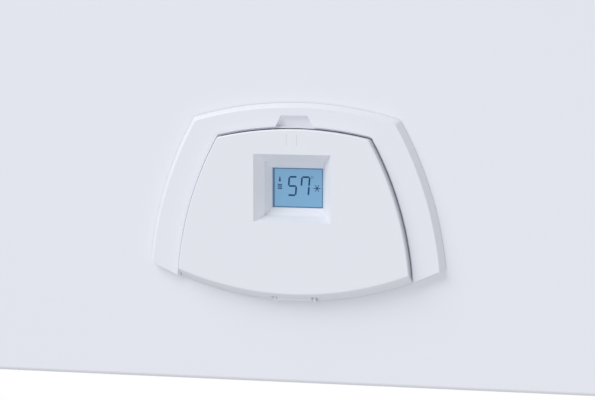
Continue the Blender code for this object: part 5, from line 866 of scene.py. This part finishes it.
# Copper: the finned exchanger, brazed from thin sheet, and the drawn pipes of the water group. Both are
# browned a little by heat and handling.
def drawn_copper(name, colour):
    """Copper as drawn or rolled: fine upright lines and a brown tarnish in patches."""
    copper = Finish(name, colour, 0.30, 1.0)
    tarnish = copper.grain(30.0, 4.0)
    lines = copper.grain(800.0, 2.0, (1.0, 1.0, 0.04))
    copper.tint(tarnish * 0.8, (0.45, 0.19, 0.11))
    return copper.rough(0.22, 0.42, tarnish).relief(0.000008, lines).material


copper = drawn_copper("drawn_copper", (0.80, 0.40, 0.26))
refine_all("_copper", copper, PRESSED_EDGE, "heat_exchanger", "flow_pipe")
for node in ("return_pipe", "vessel_pipe"):
    straight_pipe(node, copper)


# Expansion vessel: two steel halves, pressed and joined at their rims, in red stove enamel. It stands beside
# the sealed chamber, and its pipe comes down to the water group.
VESSEL_EDGE = 0.0008
red_enamel = Finish("red_enamel", (0.55, 0.035, 0.025), 0.28, Coat_Weight=0.4, Coat_Roughness=0.12)
red_enamel.mottle(0.3, (0.42, 0.02, 0.015), 12.0, 3.0)
red_enamel.rough(0.24, 0.36, red_enamel.grain(9.0)).relief(0.00003, red_enamel.grain(380.0, 1.0))
refine("expansion_vessel", "vessel_shell", red_enamel.material, VESSEL_EDGE)


# Flue outlet: a concentric collar that passes the roof, the flue tube held inside the white air tube by three
# webs. A black rubber seal closes the roof's hole, and a flange at its foot seats the collar in the case.
FLUE_Y, AIR_RADIUS, FLUE_RADIUS, TUBE_WALL, TUBE_STEPS = -0.115, 0.0500, 0.0300, 0.0012, 96
OUTLET_TOP, OUTLET_FOOT, FLUE_FOOT, OUTLET_FLANGE, FLANGE_THICK = 0.072, 0.0283, 0.0180, 0.0580, 0.0024
ROOF_Z, SEAL_REACH, SEAL_HEIGHT, WEB_WIDTH, WEB_TOP, WEBS = 0.060, 0.0045, 0.0030, 0.0060, 0.040, 3
TUBE_EDGE, WEB_EDGE = 0.0004, 0.0006


def tube(name, *profile):
    """A ring turned round the flue's axis, from (radius, height) pairs that run round its section."""
    return body_of_shape(name, solid([[(x, y, z) for x, y in disc(0, FLUE_Y, r, TUBE_STEPS)]
                                      for r, z in profile], closed=True))


air_bore, flue_bore, flange_top = AIR_RADIUS - TUBE_WALL, FLUE_RADIUS - TUBE_WALL, OUTLET_FOOT + FLANGE_THICK
outlet = tube("flue_outlet", (air_bore, OUTLET_TOP), (AIR_RADIUS, OUTLET_TOP), (AIR_RADIUS, flange_top),
              (OUTLET_FLANGE, flange_top), (OUTLET_FLANGE, OUTLET_FOOT), (air_bore, OUTLET_FOOT))
flue = tube("flue", (flue_bore, OUTLET_TOP), (FLUE_RADIUS, OUTLET_TOP), (FLUE_RADIUS, FLUE_FOOT),
            (flue_bore, FLUE_FOOT))
webs = []
for i in range(WEBS):
    web = box((FLUE_RADIUS - TUBE_WALL / 2, -WEB_WIDTH / 2, OUTLET_FOOT),
              (AIR_RADIUS - TUBE_WALL / 2, WEB_WIDTH / 2, WEB_TOP))
    turn = Matrix.Translation((0, FLUE_Y, 0)) @ Matrix.Rotation(2 * math.pi * (i + 0.5) / WEBS, 4, "Z")
    bmesh.ops.transform(web, matrix=turn, verts=web.verts)
    webs.append(soften(body_of_shape("web", web), WEB_EDGE, 2))
for piece in (outlet, flue):
    soften(piece, TUBE_EDGE)
stand_for("flue_collar", merged(outlet, flue, *webs), case_paint)

rubber = moulded("seal_rubber", (0.018, 0.018, 0.020), 0.62, 0.0)
seal_in, seal_foot = AIR_RADIUS + SEAT / 3, ROOF_Z + SEAT / 3
seal = tube("roof_seal", (seal_in, seal_foot), (AIR_RADIUS + SEAL_REACH, seal_foot),
            (AIR_RADIUS + SEAL_REACH * 0.8, ROOF_Z + SEAL_HEIGHT * 0.5), (seal_in, ROOF_Z + SEAL_HEIGHT))
dress(soften(seal, TUBE_EDGE, 2), rubber, "casing")


# Printed marks of the fascia: tick marks round the two dials with their numbers, and a small sign beside each
# control. They are screen-printed in grey ink, one ring of ticks repeated round each dial.
FASCIA_OUT, INK_THICK, LINE = -0.0140, 0.00006, 0.0004
DIAL_X, DIAL_UP, TICK_RADIUS, TICK_LENGTH, TICK_WIDTH = 0.043, 0.112, 0.0158, 0.0017, 0.0004
DIAL_SWEEP, DIAL_TICKS, DIGIT_RADIUS, DIGIT_SIZE = 135.0, 7, 0.0196, 0.0034
DIAL_NUMBERS, PRINT_GREY = (0, 2, 3, 4, 6), (0.16, 0.17, 0.19)
POWER_X, POWER_UP, POWER_RADIUS, POWER_BAR, POWER_GAP, POWER_STEPS = 0.040, 0.0678, 0.0015, 0.0018, 70, 24
SIGN_UP = 0.0915
TAP_SIGN = [  # spout, mouth, stem and handle, from the sign's middle: left, low, right, high
    (-0.0020, 0, 0.0020, 0.0009), (0.0011, -0.0012, 0.0020, 0),
    (-LINE, 0.0009, LINE, 0.0018), (-0.0010, 0.0018, 0.0010, 0.0023)]
HEAT_SIGN = [  # upright bars and two rails of a radiator, in the same way
    *((x, -0.0012, x + 0.0006, 0.0020) for x in (-0.0020, -0.0010, 0, 0.0010)),
    *((-0.0023, h, 0.0019, h + LINE) for h in (-0.0006, 0.0010))]
POINTER_OUT, POINTER_LOW, POINTER_TOP = -0.0005, 0.1170, 0.1225


class Rule(Nodes):
    """A tree of geometry nodes with named inputs, which grows plain meshes."""

    def __init__(self, name, **inputs):
        super().__init__(bpy.data.node_groups.new(name, "GeometryNodeTree"))
        ends = self.tree.interface
        for way in ("OUTPUT", "INPUT"):
            ends.new_socket(name="Geometry", in_out=way, socket_type="NodeSocketGeometry")
        self.keys = {
            key: ends.new_socket(name=key, in_out="INPUT", socket_type="NodeSocket" + kind).identifier
            for key, kind in (*inputs.items(), ("Material", "Material"))}
        sources = self.tree.nodes.new("NodeGroupInput").outputs
        self.given = {key: Tone(self, sources[key]) for key in ("Geometry", *self.keys)}

    def end(self, geometry):
        """Ends the rule with plain geometry in its material."""
        real = self.node("GeometryNodeRealizeInstances", {}, {"Geometry": geometry})
        self.node("NodeGroupOutput", {}, {"Geometry": self.node("GeometryNodeSetMaterial", {}, {
            "Geometry": real, "Material": self.given["Material"]})})
        return self

    def copies(self, points, turn):
        """Ends the rule with copies of its shape on points, each with its turn."""
        shape = self.node("GeometryNodeObjectInfo", {}, {"Object": self.given["Shape"]}, "Geometry")
        return self.end(self.node("GeometryNodeInstanceOnPoints", {}, {
            "Points": points, "Instance": shape, "Rotation": turn}))

    def grow(self, name, carrier, **values):
        """Runs the rule on a shape and keeps the result as a plain mesh."""
        piece = body_of_shape(name, carrier)
        change = piece.modifiers.new("Rule", "NODES")
        change.node_group = self.tree
        for key, value in values.items():
            change[self.keys[key]] = value
        return settle(piece)


def round_rule():
    """Copies of a shape on an arc that faces the front, turned with it, from one angle in equal steps."""
    rule = Rule("round_the_dial", Shape="Object", Count="Int", Radius="Float", First="Float", Step="Float",
                Centre="Vector")
    given = rule.given
    angle = given["First"] + rule.node("GeometryNodeInputIndex", {}, {}) * given["Step"]
    spot = rule.node("ShaderNodeCombineXYZ", {}, {
        0: rule.maths("SINE", angle) * given["Radius"], 2: rule.maths("COSINE", angle) * given["Radius"]})
    place = rule.node("ShaderNodeVectorMath", {"operation": "ADD"}, {0: spot, 1: given["Centre"]})
    points = rule.node("GeometryNodePoints", {}, {"Count": given["Count"], "Position": place})
    return rule.copies(points, rule.node("ShaderNodeCombineXYZ", {}, {1: angle}))


ROUND = round_rule()


def tick_ring(name, material, centre, radius, sweep, count, length, width):
    """Printed tick marks over a dial's sweep, which is in degrees to each side of its top."""
    bar = body_of_shape("bar", box((-width / 2, -INK_THICK, 0), (width / 2, INK_THICK / 2, length)))
    ring = ROUND.grow(name, bmesh.new(), Shape=bar, Count=count, Radius=radius, First=math.radians(-sweep),
                      Step=math.radians(2 * sweep / (count - 1)), Centre=centre, Material=material)
    bpy.data.objects.remove(bar)
    return ring


def on_dial(x, height, radius, degrees):
    """A point of a dial, clockwise from its top."""
    turn = math.radians(degrees)
    return x + radius * math.sin(turn), height + radius * math.cos(turn)


def printed(text, size, x, height, distance):
    """A number or sign as thin ink, centred on a place of the front."""
    words = bpy.data.curves.new("print", "FONT")
    words.body, words.size, words.extrude = text, size, INK_THICK / 2
    words.align_x = words.align_y = "CENTER"
    words.resolution_u = 3
    holder = linked("print", words)
    data = plain_mesh(holder)
    bpy.data.objects.remove(holder)
    data.transform(facing_front(x, height, distance))
    return linked(text, data)


def figures(values, size, x, height, radius, sweep, distance):
    """Printed numbers round a dial, the last one at the end of its sweep."""
    return [printed(str(i), size, *on_dial(x, height, radius, (2 * i / values[-1] - 1) * sweep), distance)
            for i in values]


def inked(polygons, distance):
    """Outlines as a film of ink, half sunk in the face that is printed."""
    return flat_cells(polygons, distance + INK_THICK, INK_THICK * 1.5)


print_ink = Finish("print_ink", PRINT_GREY, 0.5).mottle(0.3, (0.24, 0.25, 0.27), 900.0).material
marks = []
for x in (-DIAL_X, DIAL_X):
    marks.append(tick_ring("ticks", print_ink, at((x, DIAL_UP), FASCIA_OUT), TICK_RADIUS, DIAL_SWEEP,
                           DIAL_TICKS, TICK_LENGTH, TICK_WIDTH))
    marks += figures(DIAL_NUMBERS, DIGIT_SIZE, x, DIAL_UP, DIGIT_RADIUS, DIAL_SWEEP, FASCIA_OUT)
signs = ring_cells(POWER_X, POWER_UP, POWER_RADIUS, LINE, POWER_STEPS, POWER_GAP)
signs.append(rectangle(POWER_X - LINE / 2, POWER_UP, POWER_X + LINE / 2, POWER_UP + POWER_BAR))
for x, sign in ((DIAL_X, TAP_SIGN), (-DIAL_X, HEAT_SIGN)):
    for left, low, right, high in sign:
        signs.append(rectangle(x + left, SIGN_UP + low, x + right, SIGN_UP + high))
marks.append(body_of_shape("sign", inked(signs, FASCIA_OUT)))
dress(merged(*marks), print_ink, "casing", smooth=0)
for x, node in ((-DIAL_X, "heating_knob"), (DIAL_X, "hot_water_knob")):
    pointer = rectangle(x - LINE, POINTER_LOW, x + LINE, POINTER_TOP)
    mesh_piece(node + "_pointer", inked([pointer], POINTER_OUT), print_ink, nodes[node]["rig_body"],
               smooth=0)


# Signs of the keys: a sun, a snowflake and two letters. They are printed in white ink on the grey caps and
# move with them.
CAP_OUT, KEY_UP, KEY_PITCH, LETTER_SIZE = -0.0118, 0.0955, 0.0120, 0.0040
SUN_DISC, SUN_RAYS, SUN_GAP, SNOW_ARMS, SNOW_GAP, SIGN_REACH = 0.0007, 8, 0.0011, 6, 0.0001, 0.0018
key_ink = Finish("key_ink", (0.82, 0.82, 0.82), 0.45).mottle(0.2, (0.70, 0.70, 0.70), 900.0).material


def spokes(x, height, count, start, end):
    """Thin bars round a centre, from one distance to another."""
    ways = [Vector(way) for way in disc(0, 0, 1, count)]
    return [stroke(Vector((x, height)) + way * start, Vector((x, height)) + way * end, LINE) for way in ways]


sun_x, snow_x, info_x, reset_x = ((i - 1.5) * KEY_PITCH for i in range(4))
sun = [disc(sun_x, KEY_UP, SUN_DISC)] + spokes(sun_x, KEY_UP, SUN_RAYS, SUN_GAP, SIGN_REACH)
snow = spokes(snow_x, KEY_UP, SNOW_ARMS, SNOW_GAP, SIGN_REACH)
for body, name, cells in (("summer_key", "sun_sign", sun), ("winter_key", "snow_sign", snow)):
    mesh_piece(name, inked(cells, CAP_OUT), key_ink, body, smooth=0)
for body, letter, x in (("info_key", "i", info_x), ("reset_key", "R", reset_x)):
    dress(printed(letter, LETTER_SIZE, x, KEY_UP, CAP_OUT), key_ink, body, smooth=0)


# Gauge dial: a white card on the floor of the gauge's cup. It is printed with a scale of pressure from 0 to 4
# and a red mark at the filling pressure.
CARD_RADIUS, CARD_THICK, CARD_STEPS = 0.0131, 0.00012, 48
GAUGE_SWEEP, GAUGE_NUMBERS, FIGURE_SIZE, FIGURE_RADIUS = 120.0, (0, 1, 2, 3, 4), 0.0030, 0.0078
TICKS = (  # radius, count, length and width of the fine and the bold ones
    (0.0106, 17, 0.0014, 0.00026), (0.0099, 5, 0.0021, 0.00042))
MARK_TURNS, MARK_OUTER, MARK_INNER = range(-60, -29, 5), 0.0124, 0.0114
MARK_OUT, MARK_THICK = 0.00004, 0.00005
card = Finish("gauge_card", (0.80, 0.80, 0.79), 0.45).mottle(0.15, (0.70, 0.70, 0.68), 120.0).material
card_face = round_bar(CARD_RADIUS, CARD_THICK / 2,
                      facing_front(0, GAUGE_UP, DIAL_FLOOR_OUT + CARD_THICK / 2), CARD_STEPS)
mesh_piece("gauge_card", card_face, card, "casing")
card_out = DIAL_FLOOR_OUT + CARD_THICK
card_ink = Finish("card_ink", (0.02, 0.02, 0.02), 0.4).mottle(0.3, (0.05, 0.05, 0.05), 900.0).material
scale = [tick_ring("gauge_scale", card_ink, at((0, GAUGE_UP), card_out), radius, GAUGE_SWEEP, *ticks)
         for radius, *ticks in TICKS]
scale += figures(GAUGE_NUMBERS, FIGURE_SIZE, 0, GAUGE_UP, FIGURE_RADIUS, GAUGE_SWEEP, card_out)
dress(merged(*scale), card_ink, "casing", smooth=0)
mark = [[on_dial(0, GAUGE_UP, r, t) for t, r in
         ((a, MARK_OUTER), (b, MARK_OUTER), (b, MARK_INNER), (a, MARK_INNER))]
        for a, b in zip(MARK_TURNS, MARK_TURNS[1:])]
mesh_piece("gauge_band", flat_cells(mark, card_out + MARK_OUT, MARK_THICK), red_plastic, "casing",
           smooth=0)


# Screws: cross-recessed pan heads of zinc-plated steel. Two hold the cover to the crossbar from below, two
# the bottom rail, and six the roof.
HEAD_RADIUS, HEAD_HEIGHT, RECESS, RECESS_WIDTH, HEAD_STEPS = 0.0036, 0.0021, 0.0022, 0.0008, 20
ROOF_SCREW_X, ROOF_SCREW_YS = CASE_HALF - 0.028, (-0.012, -0.205)
COVER_SCREW_X, COVER_SCREW_BACK, RAIL_SCREW_X, RAIL_SCREW_Y = 0.15, 0.006, 0.170, -0.100
UPWARDS, DOWNWARDS = (0, 0, 0), (math.pi, 0, 0)


def fastener_rule():
    """Copies of a shape on points, facing one way, each with its own chance twist."""
    rule = Rule("fasteners", Shape="Object", Facing="Vector", Seed="Int")
    points = rule.node("GeometryNodeMeshToPoints", {}, {"Mesh": rule.given["Geometry"]})
    twist = rule.node("FunctionNodeRandomValue", {"data_type": "FLOAT"}, {
        2: 0.0, 3: math.pi, "Seed": rule.given["Seed"]}, 1)
    about = rule.node("ShaderNodeCombineXYZ", {}, {2: twist})
    return rule.copies(points, rule.node("FunctionNodeRotateRotation", {"rotation_space": "LOCAL"}, {
        i: rule.node("FunctionNodeEulerToRotation", {}, {0: turn})
        for i, turn in enumerate((rule.given["Facing"], about))}))


FASTENERS = fastener_rule()
screw = body_of_shape("screw", turned([
    (HEAD_RADIUS, 0), (HEAD_RADIUS, HEAD_HEIGHT * 0.4), (HEAD_RADIUS * 0.85, HEAD_HEIGHT * 0.8),
    (HEAD_RADIUS * 0.5, HEAD_HEIGHT)], steps=HEAD_STEPS))
for a, b in ((RECESS, RECESS_WIDTH / 2), (RECESS_WIDTH / 2, RECESS)):
    carve(screw, "DIFFERENCE", box((-a, -b, HEAD_HEIGHT * 0.45), (a, b, HEAD_HEIGHT * 2)))
plated = Finish("zinc_plated", (0.68, 0.68, 0.64), 0.28, 1.0).mottle(0.4, (0.55, 0.56, 0.54), 300.0).material


def screws(name, places, facing, seed):
    """Screw heads at places, facing a direction given as turns about the axes."""
    carrier = bmesh.new()
    for place in places:
        carrier.verts.new(place)
    heads = FASTENERS.grow(name, carrier, Shape=screw, Facing=facing, Seed=seed, Material=plated)
    dress(heads, plated, "casing")


screws("roof_screws", [(x, y, ROOF_Z) for x in (-ROOF_SCREW_X, 0.0, ROOF_SCREW_X) for y in ROOF_SCREW_YS],
       UPWARDS, 3)
low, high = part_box("lower_crossbar")
cover_screw_y = (low.y + high.y) / 2 + COVER_SCREW_BACK
screws("cover_screws", [(x, cover_screw_y, low.z) for x in (-COVER_SCREW_X, COVER_SCREW_X)], DOWNWARDS, 5)
low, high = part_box("bottom_rail")
screws("rail_screws", [(x, RAIL_SCREW_Y, low.z) for x in (-RAIL_SCREW_X, RAIL_SCREW_X)], DOWNWARDS, 7)
bpy.data.objects.remove(screw)


# Tail threads: a rolled pipe thread on the lower end of each brass tail. It is one ridge, wound from the
# tail's mouth to its hexagon.
THREAD_PITCH, THREAD_DEPTH, THREAD_START, THREAD_LENGTH, TAIL_Y = 0.0018, 0.00055, 0.0008, 0.0184, -0.065
WIDE, NARROW = 0.0132, 0.01045
TAIL_RADII = {"heating_flow_tail": WIDE, "hot_water_tail": NARROW, "gas_tail": WIDE,
              "cold_water_tail": NARROW, "heating_return_tail": WIDE}


def thread_rule():
    """A square bar wound up a cylinder, which leaves a sharp ridge standing out of it."""
    rule = Rule("pipe_thread", Radius="Float", Length="Float", Pitch="Float", Depth="Float", Foot="Vector")
    given = rule.given
    coil = rule.node("GeometryNodeCurveSpiral", {}, {
        "Resolution": 40, "Rotations": rule.maths("DIVIDE", given["Length"], given["Pitch"]),
        "Start Radius": given["Radius"], "End Radius": given["Radius"], "Height": given["Length"],
        "Reverse": False})
    ridge = rule.node("GeometryNodeCurvePrimitiveCircle", {}, {"Resolution": 4, "Radius": given["Depth"]})
    wound = rule.node("GeometryNodeCurveToMesh", {}, {
        "Curve": coil, "Profile Curve": ridge, "Fill Caps": True})
    return rule.end(rule.node("GeometryNodeTransform", {}, {"Geometry": wound, "Translation": given["Foot"]}))


THREAD = thread_rule()
threads = []
for node, radius in TAIL_RADII.items():
    low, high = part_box(node)
    foot = ((low.x + high.x) / 2, TAIL_Y, low.z + THREAD_START)
    threads.append(THREAD.grow(node + "_thread", bmesh.new(), Radius=radius, Length=THREAD_LENGTH,
                               Pitch=THREAD_PITCH, Depth=THREAD_DEPTH, Foot=foot, Material=brass))
dress(merged(*threads), brass, "casing", smooth=50)


# Room: a plain white surround that lights the boiler softly and is white where it is seen. Two soft lamps
# stand in it, the brighter one above the boiler's left.
ROOM_TONE, ROOM_STRENGTH, LAMP_AIM = (0.97, 0.985, 1.0, 1), 0.45, 0.15
LAMPS = (  # name, place, size, watts
    ("key_softbox", (-2.6, -2.4, 2.6), 3.0, 140.0),
    ("fill_softbox", (0.8, -2.6, -1.6), 1.8, 22.0))

sky = bpy.data.worlds.new("soft_room")
bpy.context.scene.world = sky
sky.use_nodes = True
sky.node_tree.nodes.clear()
room = Nodes(sky.node_tree)
camera_ray, glossy_ray, glass_ray = (room.node("ShaderNodeLightPath", {}, {}, f"Is {kind} Ray")
                                     for kind in ("Camera", "Glossy", "Transmission"))
seen = room.maths("MAXIMUM", room.maths("MAXIMUM", camera_ray, glossy_ray), glass_ray)
dim = room.node("ShaderNodeBackground", {}, {"Color": ROOM_TONE, "Strength": ROOM_STRENGTH})
white = room.node("ShaderNodeBackground", {}, {"Color": (1, 1, 1, 1), "Strength": 1.0})
room.node("ShaderNodeOutputWorld", {}, {
    "Surface": room.node("ShaderNodeMixShader", {}, {0: seen, 1: dim, 2: white})})

for name, place, size, watts in LAMPS:
    lamp = bpy.data.lights.new(name, "AREA")
    lamp.size, lamp.energy = size, watts
    holder = linked(name, lamp)
    holder.location = place
    aim = Vector(at((0, LAMP_AIM), 0)) - Vector(place)
    holder.rotation_euler = aim.to_track_quat("-Z", "Y").to_euler()


# Camera: it stands level with the control pod and to its right, and looks slightly down through a long lens.
# Its place and lens are those solved from the photograph.
CAMERA_PLACE = (0.5560, -1.9590, -0.3865)
CAMERA_TURN, CAMERA_DIP = 18.0, 4.54
PICTURE_WIDTH, FOCAL_PIXELS, SENSOR = 595, 3004.0, 36.0
CLIP_NEAR, CLIP_FAR = 0.05, 30.0

lens = bpy.data.cameras.new("camera")
lens.sensor_width = SENSOR
lens.lens = FOCAL_PIXELS / PICTURE_WIDTH * SENSOR
lens.clip_start, lens.clip_end = CLIP_NEAR, CLIP_FAR
camera = linked("camera", lens)
camera.location = CAMERA_PLACE
camera.rotation_euler = (math.radians(90 - CAMERA_DIP), 0, math.radians(CAMERA_TURN))
bpy.context.scene.camera = camera
bpy.context.scene.view_settings.view_transform = "Standard"
